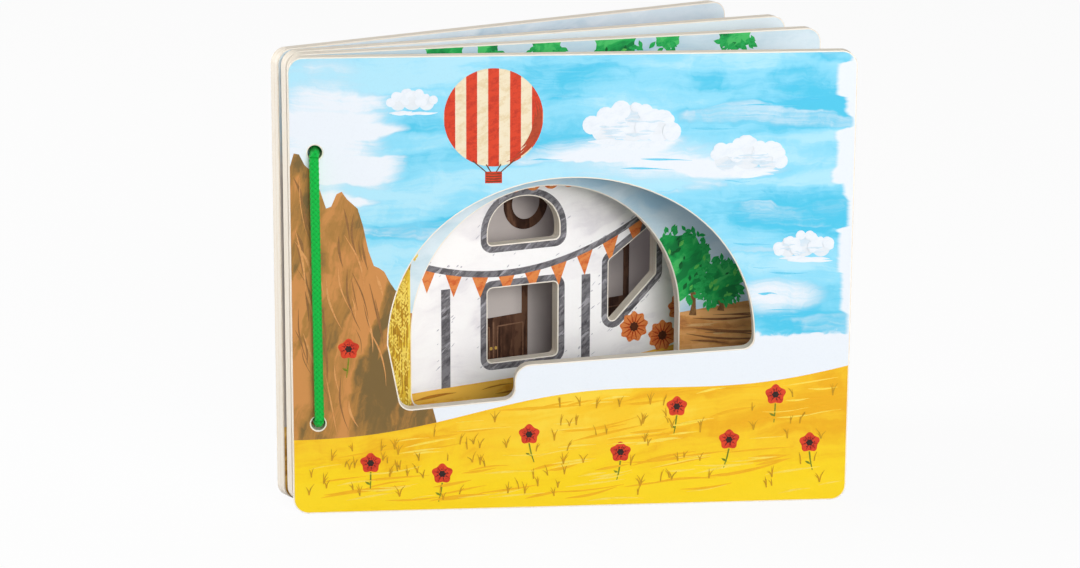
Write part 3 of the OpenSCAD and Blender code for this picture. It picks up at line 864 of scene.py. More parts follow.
class Marks:
    """Strokes and dabs of one colour on one leaf, gathered into one thin piece.

    Each mark lies at a depth of its own, so that marks that cross don't share a face.
    """

    face_mm = 0.12
    proud_mm = 0.1
    layer_mm = 0.0008
    layers = 149
    layer_stride = 31
    least_width = 0.06
    dot_sides = 14
    petal_sides = 8

    def __init__(self, name: str, leaf: Leaf, lift: float = 0.0) -> None:
        """Start an empty set of marks.

        Args:
            name: The piece's name.
            leaf: The leaf that it lies on.
            lift: Extra distance from the face, in millimetres, for marks over marks.
        """
        self.name = name
        self.leaf = leaf
        self.lift = lift
        self.laid = 0
        self.points: list[Vector] = []
        self.faces: list[tuple[int, ...]] = []

    def _slab(self, spots: Sequence[Spot], tops: Sequence[tuple[int, ...]], rim: Sequence[int]) -> None:
        """Add a thin closed slab.

        Args:
            spots: Its corners on the leaf.
            tops: Its faces, as places in the corners.
            rim: The corners round its edge, in order.
        """
        first = len(self.points)
        count = len(spots)
        self.laid += 1
        over = self.lift + self.layer_mm * (self.laid * self.layer_stride % self.layers)
        for depth in (self.face_mm + self.proud_mm, self.face_mm):
            self.points += [self.leaf.point(x, -depth - over, z) for x, z in spots]
        for top in tops:
            self.faces.append(tuple(first + i for i in top))
            self.faces.append(tuple(first + count + i for i in reversed(top)))
        for a, b in zip(rim, [*rim[1:], rim[0]]):
            self.faces.append((first + b, first + a, first + count + a, first + count + b))

    def stroke(self, line: Sequence[Spot], widths: Sequence[float], steps: int = 4) -> None:
        """Lay a stroke along a line.

        Args:
            line: Its points, in millimetres on the leaf.
            widths: Its width at each point.
            steps: Stretches between two points.
        """
        smooth = smoothed([Vector((x, z, w)) for (x, z), w in zip(line, widths)], steps)
        last = len(smooth) - 1
        left: list[Spot] = []
        right: list[Spot] = []
        for i, spot in enumerate(smooth):
            ahead = smooth[min(i + 1, last)] - smooth[max(i - 1, 0)]
            flat = Vector((ahead.x, ahead.y)).normalized()
            side = Vector((-flat.y, flat.x)) * (max(spot.z, self.least_width) / 2)
            left.append((spot.x + side.x, spot.y + side.y))
            right.append((spot.x - side.x, spot.y - side.y))
        count = last + 1
        tops = [(i, i + count, i + count + 1, i + 1) for i in range(last)]
        rim = [*range(count - 1, -1, -1), *range(count, 2 * count)]
        self._slab([*left, *right], tops, rim)

    def dab(self, x: float, z: float, r: float, petals: int = 0, cut: float = 0.0) -> None:
        """Lay a round dab.

        Args:
            x: Its middle, from the spine edge.
            z: Its middle, from the bottom edge.
            r: Its radius.
            petals: How many petals its edge has.
            cut: How deep they are cut, as a share of the radius.
        """
        sides = self.petal_sides * petals or self.dot_sides
        spots: list[Spot] = [(x, z)]
        for i in range(sides):
            a = math.tau * i / sides
            spots.append(around(x, z, r * (1 + cut * math.cos(petals * a)), a))
        rim = list(range(1, sides + 1))
        tops = [(0, a, b) for a, b in zip(rim, [*rim[1:], rim[0]])]
        self._slab(spots, tops, rim)

    def leaf_dab(self, x: float, z: float, length: float, turn: float, fat: float = 0.45) -> None:
        """Lay a pointed dab, such as one leaf of a bush.

        Args:
            x: Its middle, from the spine edge.
            z: Its middle, from the bottom edge.
            length: Its length.
            turn: Its direction, in radians.
            fat: Its greatest width, as a share of its length.
        """
        dx, dz = math.cos(turn) * length / 2, math.sin(turn) * length / 2
        self.stroke([(x - dx, z - dz), (x, z), (x + dx, z + dz)], [0.08, length * fat, 0.08], 3)

    def build(self, finish: Gouache, slot: str) -> None:
        """Make the piece.

        Args:
            finish: Its colour.
            slot: The material slot that it takes its finish from.
        """
        mesh = bpy.data.meshes.new(self.name)
        mesh.from_pydata([tuple(p) for p in self.points], [], self.faces)
        mesh.update()
        piece = bpy.data.objects.new(self.name, mesh)
        bpy.context.scene.collection.objects.link(piece)
        finish.dress(piece, self.leaf)
        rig.ride(piece, f"{self.leaf.name}_leaf")
        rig.slot(piece, slot)
        log.info("%s: %d faces of brush marks", self.name, len(self.faces))


@dataclass(frozen=True)
class Ground:
    """The rolling top of a stretch of ground, in millimetres and degrees."""

    left: float
    right: float
    swell: float
    waves: float
    shift: float

    def top(self, x: float) -> float:
        """Find its height at a distance from the spine edge."""
        turn = math.radians(360 * self.waves * x / BOARD_W + self.shift)
        return self.left + (self.right - self.left) * x / BOARD_W + self.swell * math.sin(turn)


# The boards


@dataclass
class Boards:
    """The four wooden boards, with eased edges."""

    binding: Binding
    eased_mm: float = 0.45
    ease_steps: int = 3
    sharp_deg: float = 35.0
    weld_mm: float = 0.01
    wood: Limewood = field(default_factory=Limewood)

    def dress(self) -> None:
        """Ease each board's edges and give it its wood."""
        for leaf in self.binding.leaves:
            board = frame["nodes"][f"{leaf.name}_board"]
            for face in board.data.polygons:
                face.use_smooth = True
            board.modifiers.new("weld", "WELD").merge_threshold = self.weld_mm * MM
            ease = board.modifiers.new("ease", "BEVEL")
            ease.width = self.eased_mm * MM
            ease.segments = self.ease_steps
            ease.limit_method = "ANGLE"
            ease.angle_limit = math.radians(self.sharp_deg)
            board.modifiers.new("smooth", "WEIGHTED_NORMAL").keep_sharp = False
            self.wood.dress(board, leaf)
            log.info("%s_board: wood, eased by %.2f mm", leaf.name, self.eased_mm)


# The pictures


@dataclass
class Picture:
    """One board's print: its fields of wash, and the brush marks on them."""

    leaf: Leaf
    seed: int = 1
    margin: float = 2.0

    def __post_init__(self) -> None:
        """Seed the picture's own random draws."""
        self.draw = random.Random(self.seed)

    def paint_field(self, part: str, finish: Wash | Gouache) -> None:
        """Give one field of print its finish.

        Args:
            part: The field's name without its board.
            finish: The finish.
        """
        node = f"{self.leaf.name}_{part}"
        finish.dress(frame["nodes"][node], self.leaf)
        log.info("%s: %s", node, finish.name)

    def marks(self, part: str, lift: float = 0.0) -> Marks:
        """Start a set of marks on this leaf."""
        return Marks(f"{self.leaf.name}_{part}", self.leaf, lift)

    def streaks(self, marks: Marks, on: Field, count: int, size: tuple[float, float], slope: float) -> None:
        """Lay long brush streaks at random over a field.

        Args:
            marks: The set that they join.
            on: The field that they stay on.
            count: How many to try.
            size: Their greatest length and width.
            slope: Their slope, in degrees.
        """
        length, width = size
        for _ in range(count):
            x = self.draw.uniform(self.margin, BOARD_W - self.margin)
            z = self.draw.uniform(self.margin, BOARD_H - self.margin)
            run = self.draw.uniform(0.35, 1) * length
            a = math.radians(slope + self.draw.uniform(-5, 5))
            bow = self.draw.uniform(-0.04, 0.04) * run
            line = [
                (x + run * s * math.cos(a), z + run * s * math.sin(a) + bow * math.sin(math.pi * s))
                for s in (0, 0.33, 0.66, 1)
            ]
            if on.holds(line):
                w = self.draw.uniform(0.4, 1) * width
                marks.stroke(line, [0.1, w, w * 0.8, 0.1])

    def wavering(
        self, start: Spot, run: float, shake: float, shares: Shares, fall: float = 0.0
    ) -> list[Spot]:
        """Draw a line that wavers on its way across.

        Args:
            start: Its left end.
            run: Its length.
            shake: How far it wavers.
            shares: Where its points lie along it.
            fall: How far it falls, as a share of its length.

        Returns:
            Its points.
        """
        x, z = start
        return [(x + run * s, z - fall * run * s + self.draw.uniform(-shake, shake)) for s in shares]


@dataclass
class FrontPicture(Picture):
    """A crag over a poppy meadow, and a striped balloon in a windy sky."""

    meadow: Ground = Ground(left=31, right=56, swell=3, waves=1.4, shift=200)
    crag_w: float = 60.0
    crag_top: float = 146.0
    balloon: Spot = (78.0, 156.0)
    balloon_r: float = 19.0
    basket_w: float = 6.5
    basket_rows: int = 4
    shade_rings: int = 3
    poppies: tuple[Spot, ...] = (
        (22.0, 66.1), (30.1, 20.0), (58.0, 14.9), (92.0, 30.1), (128.0, 22.0), (150.0, 40.0), (170.9, 25.9),
        (189.0, 43.9), (203.0, 23.9),
    )
    poppy_r: float = 3.8
    poppy_creases: int = 9
    poppy_stamens: int = 8
    sky_end: float = 207.0
    sky_tries: int = 150
    grass_tufts: int = 110
    crag_tries: int = 190
    plain_cloud: float = 10.0
    cloud_wisps: int = 7
    clouds: tuple[Round, ...] = (
        (47.1, 163.1, 9), (131.0, 153.0, 17), (175.9, 140.0, 14), (199.0, 104.0, 11),
    )

    def dress(self) -> None:
        """Paint the front board's fields."""
        ground = Wash(
            "white_ground", "EFF4FA", "EAEFF4", "CFE3F0", (46, 6), tilt=3, contrast=0.85,
            pools=(Patch(150, 62, 80, 14, 0.5),), seed=1.0,
        )
        self.paint_field("base", ground)
        sky = Wash(
            "sky_wash", "B4E9FB", "90DEF8", "50C9EC", (62, 9), tilt=-2,
            ground="EEF4FB", reach=Reach(left=-6, right=214, low=68, high=194, ragged=5.5),
            gaps=(
                Patch(140, 137, 62, 13, 1.2), Patch(14, 148, 33, 42, 1.6), Patch(56, 92, 30, 22, 0.8),
                Patch(188, 84, 24, 9, 0.8),
            ),
            pools=(
                Patch(200, 114, 34, 12, 1.0), Patch(204, 164, 26, 16, 0.8), Patch(108, 172, 34, 10, 0.7),
                Patch(66, 112, 16, 16, 0.7), Patch(196, 74, 22, 8, 0.5),
            ),
            seed=4.0,
        )
        self.paint_field("sky", sky)
        crag = Wash(
            "rust_wash", "D08F50", "B07E40", "7A6238", (40, 6), tilt=74, contrast=1.25,
            pools=(Patch(40, 44, 12, 60, 0.9), Patch(6, 92, 9, 44, 0.7)),
            fade_tint="C08E44", fade_span=(8, 40), seed=9.0,
        )
        self.paint_field("crag", crag)
        meadow = Wash(
            "yellow_wash", "FCD63E", "FACA28", "F0B21A", (52, 9), tilt=8, contrast=0.95,
            fade_tint="FCDA18", fade_span=(8, 34), seed=12.0,
        )
        self.paint_field("meadow", meadow)
        self.paint_field("red", Gouache("red_paint", "DD4527", "C23520", 4.0))
        self.paint_field("cream", Gouache("cream_paint", "F4E6C8", "E9D3A8", 5.0))

    def build(self) -> None:
        """Lay the front board's brush marks."""
        self._ground_marks()
        self._crag_marks()
        self._balloon_marks()
        self._poppy_marks()
        self._sky_marks()
        self._cloud_marks()

    def _ground_marks(self) -> None:
        """Lay streaks and grass over the meadow."""
        meadow = Field("front_meadow", self.leaf)
        ochre = self.marks("meadow_streaks")
        self.streaks(ochre, meadow, 420, (34, 1.3), 7)
        ochre.build(Gouache("ochre_strokes", "F2B81F", "EDB01A", 6.0), "yellow_wash")
        light = self.marks("meadow_lights", 0.06)
        self.streaks(light, meadow, 360, (26, 0.9), 6)
        light.build(Gouache("light_strokes", "FADF5C", "F8D638", 5.0), "yellow_wash")
        grass = self.marks("grass", 0.12)
        for _ in range(self.grass_tufts):
            x = self.draw.uniform(4, BOARD_W - 4)
            z = self.draw.uniform(4, max(self.meadow.top(x) - 5, 6))
            for _ in range(self.draw.randint(2, 4)):
                lean, tall = self.draw.uniform(-2.2, 2.2), self.draw.uniform(2.2, 5)
                line = [(x, z), (x + lean * 0.3, z + tall * 0.55), (x + lean, z + tall)]
                if meadow.holds(line):
                    grass.stroke(line, [0.45, 0.36, 0.08], 3)
        grass.build(Gouache("grass_strokes", "D39C1C", "B58F22", 3.0), "yellow_wash")

    def _crag_marks(self) -> None:
        """Lay the crag's cracks and its lit ledges."""
        rock = Field("front_crag", self.leaf)
        cracks, ledges = self.marks("crag_cracks"), self.marks("crag_ledges", 0.05)
        for _ in range(self.crag_tries):
            x = self.draw.uniform(1, self.crag_w)
            z = self.draw.uniform(24, self.crag_top)
            marks = cracks if self.draw.random() < 0.6 else ledges
            fall = math.radians(self.draw.uniform(-84, -70))
            run = self.draw.uniform(8, 26)
            bow = self.draw.uniform(-0.1, 0.1) * run
            line = [
                (x + run * s * math.cos(fall) + bow * math.sin(math.pi * s), z + run * s * math.sin(fall))
                for s in (0, 0.4, 0.75, 1)
            ]
            if rock.holds(line, 0.8):
                w = self.draw.uniform(0.3, 1.1)
                marks.stroke(line, [0.1, w, w * 0.6, 0.08])
        cracks.build(Gouache("umber_strokes", "9A6C3E", "8A643A", 4.0), "rust_wash")
        ledges.build(Gouache("apricot_strokes", "DDA062", "D08F50", 4.0), "rust_wash")

    def _balloon_marks(self) -> None:
        """Lay the balloon's seams, shading, ropes and basket weave."""
        cx, cz = self.balloon
        r = self.balloon_r
        ropes = self.marks("balloon_ropes", 0.05)
        for s in (-1.0, -0.35, 0.35, 1.0):
            top = (cx + s * r * 0.42, cz - math.sqrt(r**2 - (s * r * 0.42) ** 2) + 0.6)
            foot = (cx + s * self.basket_w * 0.42, cz - r - self.basket_w * 0.34)
            ropes.stroke([top, foot], [0.45, 0.4], 4)
        half = self.basket_w * 0.46
        for row in range(self.basket_rows):
            z = cz - r - self.basket_w * (0.42 + 0.155 * row)
            ropes.stroke([(cx - half, z), (cx, z - 0.15), (cx + half, z)], [0.3, 0.35, 0.3], 4)
        ropes.build(Gouache("brown_lines", "6B4327", "55331D", 3.0), "red_print")
        shade = self.marks("balloon_shade")
        for ring in range(self.shade_rings):
            d = r * (0.97 - 0.05 * ring)
            spots = [math.radians(a) for a in range(-74 + 12 * ring, 34 - 10 * ring, 12)]
            widths = [0.1 + 1.3 * math.sin(math.pi * i / (len(spots) - 1)) for i in range(len(spots))]
            shade.stroke([around(cx, cz, d - 0.5, a) for a in spots], widths)
        shade.build(Gouache("rust_strokes", "B9482A", "A23B22", 3.0), "red_print")

    def _poppy_marks(self) -> None:
        """Lay the poppies' creases, hearts and stalks."""
        meadow, rock = Field("front_meadow", self.leaf), Field("front_crag", self.leaf)
        creases, hearts = self.marks("poppy_creases"), self.marks("poppy_hearts", 0.08)
        stalks = self.marks("poppy_stalks")
        r = self.poppy_r
        for x, z in self.poppies:
            for i in range(self.poppy_creases):
                a = math.tau * (i + self.draw.uniform(-0.2, 0.2)) / self.poppy_creases
                near, far = r * 0.4, r * self.draw.uniform(0.7, 0.92)
                creases.stroke([around(x, z, near, a), around(x, z, far, a)], [0.5, 0.15], 3)
            hearts.dab(x, z, r * 0.34, 6, 0.12)
            for i in range(self.poppy_stamens):
                a = math.tau * i / self.poppy_stamens + 0.2
                hearts.dab(*around(x, z, r * 0.52, a), 0.2)
            lean = self.draw.uniform(-2, 2)
            stalk = [(x, z - r * 0.96), (x + lean * 0.4, z - r * 2), (x + lean, z - r * 3)]
            if meadow.holds(stalk[1:], 0.3) or rock.holds(stalk[1:], 0.3):
                stalks.stroke(stalk, [0.6, 0.55, 0.3])
                stalks.leaf_dab(stalk[1][0] - 1.0, stalk[1][1] - 0.6, 2.6, 2.6, 0.34)
        creases.build(Gouache("crimson_strokes", "A8231A", "8C1C16", 2.0), "red_print")
        hearts.build(Gouache("soot_dabs", "33211D", "221614", 1.5), "red_print")
        stalks.build(Gouache("moss_strokes", "7E8A24", "61701C", 3.0), "yellow_wash")

    def _sky_marks(self) -> None:
        """Lay strong accents of blue along the sky's brush strokes."""
        sky = Field("front_sky", self.leaf)
        deep = self.marks("sky_accents")
        for _ in range(self.sky_tries):
            x, z = self.draw.uniform(70, 196), self.draw.uniform(74, 177)
            run = self.draw.uniform(6, 26)
            line = self.wavering((x, z), run, 0.35, (0, 0.3, 0.65, 1), 0.03)
            if line[-1][0] < self.sky_end and sky.holds(line, 0.8) and self.draw.random() < 0.42:
                w = self.draw.uniform(0.2, 1.1)
                deep.stroke(line, [0.08, w, w * 0.5, 0.06])
        deep.build(Gouache("cerulean_strokes", "7AD4F1", "5CCBEC", 5.0, 0.0), "blue_wash")

    def _cloud_marks(self) -> None:
        """Lay puffs, pale shadows and wisps on the clouds."""
        sky, base = Field("front_sky", self.leaf), Field("front_base", self.leaf)
        puffs, shadows = self.marks("cloud_puffs", 0.05), self.marks("cloud_shadows", 0.12)
        for cloud in self.clouds:
            self._puffs(puffs, cloud, base)
            if cloud[2] > self.plain_cloud:
                self._shadows(shadows, cloud, base, sky)
            self._wisps(puffs, cloud, base, sky)
        puffs.build(Gouache("cloud_white", "F0F5FB", "E9F0F7", 4.0), "white_wash")
        shadows.build(Gouache("cloud_grey", "DCEBF5", "CFE3F0", 3.0), "white_wash")

    def _puffs(self, puffs: Marks, cloud: Round, base: Field) -> None:
        """Lay puffs round the upper edges of a cloud's three lobes.

        Args:
            puffs: The marks that they join.
            cloud: The cloud's middle and half its width.
            base: The whole board.
        """
        x, z, half = cloud
        for i in (-1, 0, 1):
            lobe = (x + i * half * 0.6, z - abs(i) * half * 0.12, half * (0.42 - 0.1 * abs(i)))
            for _ in range(round(half * 0.8)):
                a = self.draw.uniform(-0.3, math.pi + 0.3)
                spot = (lobe[0] + lobe[2] * math.cos(a), lobe[1] + lobe[2] * 0.9 * math.sin(a))
                r = self.draw.uniform(0.1, 0.22) * half
                if base.holds([spot], r + 0.5):
                    puffs.dab(*spot, r)

    def _shadows(self, shadows: Marks, cloud: Round, base: Field, sky: Field) -> None:
        """Lay pale shadows inside a cloud.

        Args:
            shadows: The marks that they join.
            cloud: The cloud's middle and half its width.
            base: The whole board.
            sky: The blue round the cloud.
        """
        x, z, half = cloud
        for _ in range(round(half * 1.2)):
            run = half * self.draw.uniform(0.2, 0.6)
            left = x + self.draw.uniform(-0.75, 0.6) * half - run / 2
            low = z - half * self.draw.uniform(-0.05, 0.36)
            line = self.wavering((left, low), run, 0.25, (0, 0.4, 0.7, 1))
            if base.holds(line, 0.5) and not any(spot in sky for spot in line):
                shadows.stroke(line, [0.1, half * 0.05, half * 0.035, 0.08])

    def _wisps(self, wisps: Marks, cloud: Round, base: Field, sky: Field) -> None:
        """Lay white wisps under a cloud, out over the blue.

        Args:
            wisps: The marks that they join.
            cloud: The cloud's middle and half its width.
            base: The whole board.
            sky: The blue round the cloud.
        """
        x, z, half = cloud
        for _ in range(self.cloud_wisps):
            left = x + self.draw.uniform(-1, 0.1) * half
            low = z - half * self.draw.uniform(0.4, 0.62)
            run = half * self.draw.uniform(0.6, 1.1)
            line = self.wavering((left, low), run, 0.3, (0, 0.4, 0.7, 1))
            if all(spot in base for spot in line) and any(spot in sky for spot in line):
                wisps.stroke(line, [0.2, half * 0.12, half * 0.09, 0.1])


@dataclass
class SecondPicture(Picture):
    """Bushes and clumps of leaves over a ploughed field with a strip of wheat."""

    clumps: tuple[Round, ...] = (
        (61.0, BOARD_H, 8.1), (78.5, BOARD_H, 4.5), (102.5, BOARD_H, 6.3), (130.8, BOARD_H, 9),
        (152.6, BOARD_H, 5.4), (180.9, BOARD_H, 7.2),
    )
    bushes: tuple[Round, ...] = ((158.1, 86.0, 13.7), (177.0, 77.9, 8.6), (27.9, 108, 11.4))
    wheat_x: float = 34.88
    wheat_w: float = 12.0
    fan_ears: int = 22
    wheat_inside_z: float = 60.0
    leaf_tries: int = 1500
    wheat_tries: int = 150

    def dress(self) -> None:
        """Paint the second board's fields."""
        self.paint_field("base", Wash("second_ground", "F3F4F6", "E9EDF0", "DDE4E8", (40, 8), contrast=0.8))
        sky = Wash("haze_wash", "DDEBF2", "CDE1EA", "AFD2E4", (50, 11), seed=3.0)
        self.paint_field("sky", sky)
        green = Wash(
            "green_wash", "4CC768", "1CAB50", "0F8440", (9, 4), tilt=30, contrast=1.3, seed=6.0,
        )
        self.paint_field("green", green)
        earth = Wash(
            "brown_wash", "E4A868", "D49452", "B47440", (44, 4), tilt=-4, contrast=1.2,
            fade_tint="C88C50", fade_span=(8, 44), seed=8.0,
        )
        self.paint_field("field", earth)
        wheat = Wash(
            "wheat_wash", "F1D65A", "E3BD36", "C99B26", (16, 1.8), tilt=84, contrast=1.4, seed=2.0,
        )
        self.paint_field("wheat", wheat)

    def build(self) -> None:
        """Lay the second board's brush marks."""
        self._leaf_marks()
        self._furrow_marks()
        self._wheat_marks()

    def _leaf_marks(self) -> None:
        """Lay leaves over the bushes and clumps and round their edges, and the bushes' trunks."""
        green = Field("second_green", self.leaf)
        dark, light = self.marks("leaf_darks"), self.marks("leaf_lights", 0.06)
        for _ in range(self.leaf_tries):
            x, z = self.draw.uniform(3, 215), self.draw.uniform(60, 177)
            if green.holds([(x, z)], 1.0):
                marks = dark if self.draw.random() < 0.5 else light
                marks.leaf_dab(x, z, self.draw.uniform(1.6, 3.6), self.draw.uniform(0.2, 1.9), 0.5)
        fringe = self.marks("leaf_fringe")
        board = Field("second_base", self.leaf)
        earth = Field("second_field", self.leaf)
        for x, z, r in (*self.clumps, *self.bushes):
            for _ in range(round(r * 9)):
                a = self.draw.uniform(0, math.tau)
                d = r * 1.02 + self.draw.uniform(-1.5, 2.4)
                spot = around(x, z, d, a)
                if board.holds([spot], 2.2) and spot not in earth:
                    length, turn = self.draw.uniform(2.2, 4.4), a + self.draw.uniform(-0.9, 0.9)
                    fringe.leaf_dab(*spot, length, turn, 0.5)
        trunks = self.marks("trunks")
        for bush in self.bushes:
            self._trunk(trunks, bush, board, earth)
        trunks.build(Gouache("bark_strokes", "8A6238", "6E4C2A", 2.0, 85.0), "brown_wash")
        fringe.build(Gouache("clover_dabs", "2DB45A", "169A47", 2.0), "green_wash")
        dark.build(Gouache("bottle_dabs", "0C6B33", "095528", 2.0), "green_wash")
        light.build(Gouache("lime_dabs", "6CCB5A", "45B552", 2.0), "green_wash")

    def _furrow_marks(self) -> None:
        """Lay furrows and clods over the field."""
        earth = Field("second_field", self.leaf)
        furrows, clods = self.marks("furrows"), self.marks("clods", 0.05)
        self.streaks(furrows, earth, 900, (40, 1.1), -4)
        self.streaks(clods, earth, 600, (14, 1.4), -4)
        furrows.build(Gouache("sepia_strokes", "8C5C34", "744A28", 4.0), "brown_wash")
        clods.build(Gouache("sand_strokes", "DAAC72", "CC9A5C", 4.0), "brown_wash")

    def _trunk(self, trunks: Marks, bush: Round, board: Field, earth: Field) -> None:
        """Lay the trunk of a bush that stands clear of the field, beside the cut-out.

        Args:
            trunks: The marks that it joins.
            bush: The bush's middle and its radius.
            board: The whole board.
            earth: The field.
        """
        x, z, r = bush
        for base_x in (x, x + r * 0.5, x - r * 0.5):
            foot = z - r * 0.8
            while foot > 0 and (base_x, foot) not in earth:
                foot -= 1
            line = [(base_x, z - r * 0.8), (base_x + 0.4, (z - r * 0.9 + foot) / 2), (base_x, foot - 1.5)]
            if foot > 0 and board.holds(line, 2.5):
                if z - r - foot > 0:
                    trunks.stroke(line, [2.4, 1.8, 3.2])
                return

    def _wheat_marks(self) -> None:
        """Lay the wheat's stalks and ears."""
        strip = Field("second_wheat", self.leaf)
        stalks, ears = self.marks("wheat_stalks"), self.marks("wheat_ears", 0.05)
        for _ in range(self.wheat_tries):
            x = self.wheat_x + self.draw.uniform(0.8, self.wheat_w - 0.8)
            z = self.draw.uniform(22, 80)
            lean = self.draw.uniform(-1, 1)
            tall = self.draw.uniform(8, 16)
            tip = (x + lean, z + tall)
            if strip.holds([(x, z), tip], 0.5):
                stalks.stroke([(x, z), (x + lean * 0.3, z + tall * 0.5), tip], [0.4, 0.35, 0.2], 3)
                self._ear(ears, tip, 4, 0.4, 1.5)
        board = Field("second_base", self.leaf)
        for i in range(self.fan_ears):
            share = (i + 0.5) / self.fan_ears
            x, z = self.wheat_x + self.wheat_w * share, self.wheat_inside_z
            while (x, z) in strip:
                z += 0.5
            lean = 6 * (share - 0.5) + self.draw.uniform(-0.6, 0.6)
            tall = self.draw.uniform(2.5, 7)
            tip = (x + lean, z + tall)
            above = (tip[0], tip[1] + 1)
            if board.holds([(x, z), above], 0.8):
                stalks.stroke([(x, z - 3), (x + lean * 0.4, z + tall * 0.6), tip], [0.5, 0.45, 0.3], 3)
                self._ear(ears, above, 5, 0.45, 1.8)
        stalks.build(Gouache("straw_strokes", "B98A1E", "A17618", 2.0), "wheat_wash")
        ears.build(Gouache("grain_dabs", "F3DA66", "E2B93C", 2.0), "wheat_wash")

    def _ear(self, ears: Marks, tip: Spot, grains: int, off: float, length: float) -> None:
        """Lay an ear of wheat, with its grains down both sides.

        Args:
            ears: The marks that it joins.
            tip: Its top.
            grains: How many grains it has.
            off: How far they stand off its middle.
            length: How long a grain is.
        """
        for grain in range(grains):
            side = 1 if grain % 2 else -1
            turn = math.pi / 2 - side * 0.5
            ears.leaf_dab(tip[0] + side * off, tip[1] - grain * 0.9, length, turn)


@dataclass
class ThirdPicture(Picture):
    """A rendered house wall with an awning and bunting, and marigolds in the yard."""

    marigolds: tuple[Spot, ...] = ((150.0, 56.0), (163.1, 50.9), (172.0, 61.9), (184.0, 50.0))
    marigold_r: float = 6.0
    marigold_petals: int = 14
    awning: tuple[float, float, float, float] = (76.2, 120.7, 48.0, 7.0)
    awning_stripes: int = 6
    pencil_tries: int = 3600

    def dress(self) -> None:
        """Paint the third board's fields."""
        wall = Wash(
            "lilac_wash", "FFFCFB", "FAF6F6", "EAE5E8", (26, 10), tilt=12, fade_tint="E2F0F8",
            fade_span=(170, 146), seed=5.0,
        )
        self.paint_field("wall", wall)
        lines = Wash(
            "graphite_wash", "7F7C80", "5F5C60", "454246", (5, 0.9), tilt=38, contrast=1.3,
            ground="A9A6AB", gaps=(Patch(109, 90, 200, 170, 0.3),), seed=3.0,
        )
        self.paint_field("surrounds", lines)
        self.paint_field("orange", Gouache("orange_paint", "E58B4A", "D2602F", 5.0))
        yard = Wash("ochre_wash", "F8C04E", "ECA632", "D08626", (36, 4), tilt=3, contrast=1.2, seed=7.0)
        self.paint_field("yard", yard)

    def build(self) -> None:
        """Lay the third board's brush marks."""
        self._pencil_marks()
        self._awning_marks()
        self._marigold_marks()
        self._yard_marks()

    def _pencil_marks(self) -> None:
        """Lay short pencil strokes beside the dark surrounds and posts."""
        wall = Field("third_wall", self.leaf)
        orange = Field("third_orange", self.leaf)
        dark = Field("third_surrounds", self.leaf)
        yard = Field("third_yard", self.leaf)
        pencil = self.marks("pencil_marks")
        for _ in range(self.pencil_tries):
            x, z = self.draw.uniform(4, 210), self.draw.uniform(46, 176)
            run, a = self.draw.uniform(0.8, 2.4), math.radians(self.draw.uniform(28, 48))
            line = [(x + run * s * math.cos(a), z + run * s * math.sin(a)) for s in (-0.5, 0, 0.5)]
            near = any((x + dx, z + dz) in dark for dx, dz in ((1.6, 0), (-1.6, 0), (0, 1.6), (0, -1.6)))
            clear = not any(spot in other for spot in line for other in (orange, dark, yard))
            if near and clear and wall.holds(line, 1.0):
                pencil.stroke(line, [0.1, self.draw.uniform(0.2, 0.5), 0.08], 3)
        pencil.build(Gouache("graphite_strokes", "CBC8CE", "B2AFB6", 2.5), "lilac_wash")

    def _awning_marks(self) -> None:
        """Lay pale bands down the awning."""
        x, z, width, tall = self.awning
        bands = self.marks("awning_bands", 0.05)
        for i in range(self.awning_stripes):
            middle = x + width * (i + 0.5) / self.awning_stripes
            bands.stroke([(middle, z - 2.6), (middle, z + tall - 0.4)], [1.6, 2.6], 3)
        bands.build(Gouache("cream_strokes", "F7E7CC", "EED5AE", 3.0), "orange_print")

    def _marigold_marks(self) -> None:
        """Lay the marigolds' petals and hearts."""
        petals, hearts = self.marks("marigold_petals"), self.marks("marigold_hearts", 0.06)
        for mx, mz in self.marigolds:
            for i in range(self.marigold_petals):
                a = math.tau * i / self.marigold_petals
                near, far = self.marigold_r * 0.34, self.marigold_r * 0.9
                petals.stroke([around(mx, mz, near, a), around(mx, mz, far, a)], [0.7, 0.2], 3)
            hearts.dab(mx, mz, self.marigold_r * 0.32, 8, 0.08)
        petals.build(Gouache("brick_strokes", "C24A1F", "A83A18", 2.0), "orange_print")
        hearts.build(Gouache("umber_dabs", "5A2C16", "44200F", 1.5), "orange_print")

    def _yard_marks(self) -> None:
        """Lay streaks over the yard."""
        yard = Field("third_yard", self.leaf)
        stones = self.marks("yard_streaks")
        self.streaks(stones, yard, 500, (26, 1.3), 4)
        stones.build(Gouache("amber_strokes", "C27E28", "A86A20", 3.0), "ochre_wash")


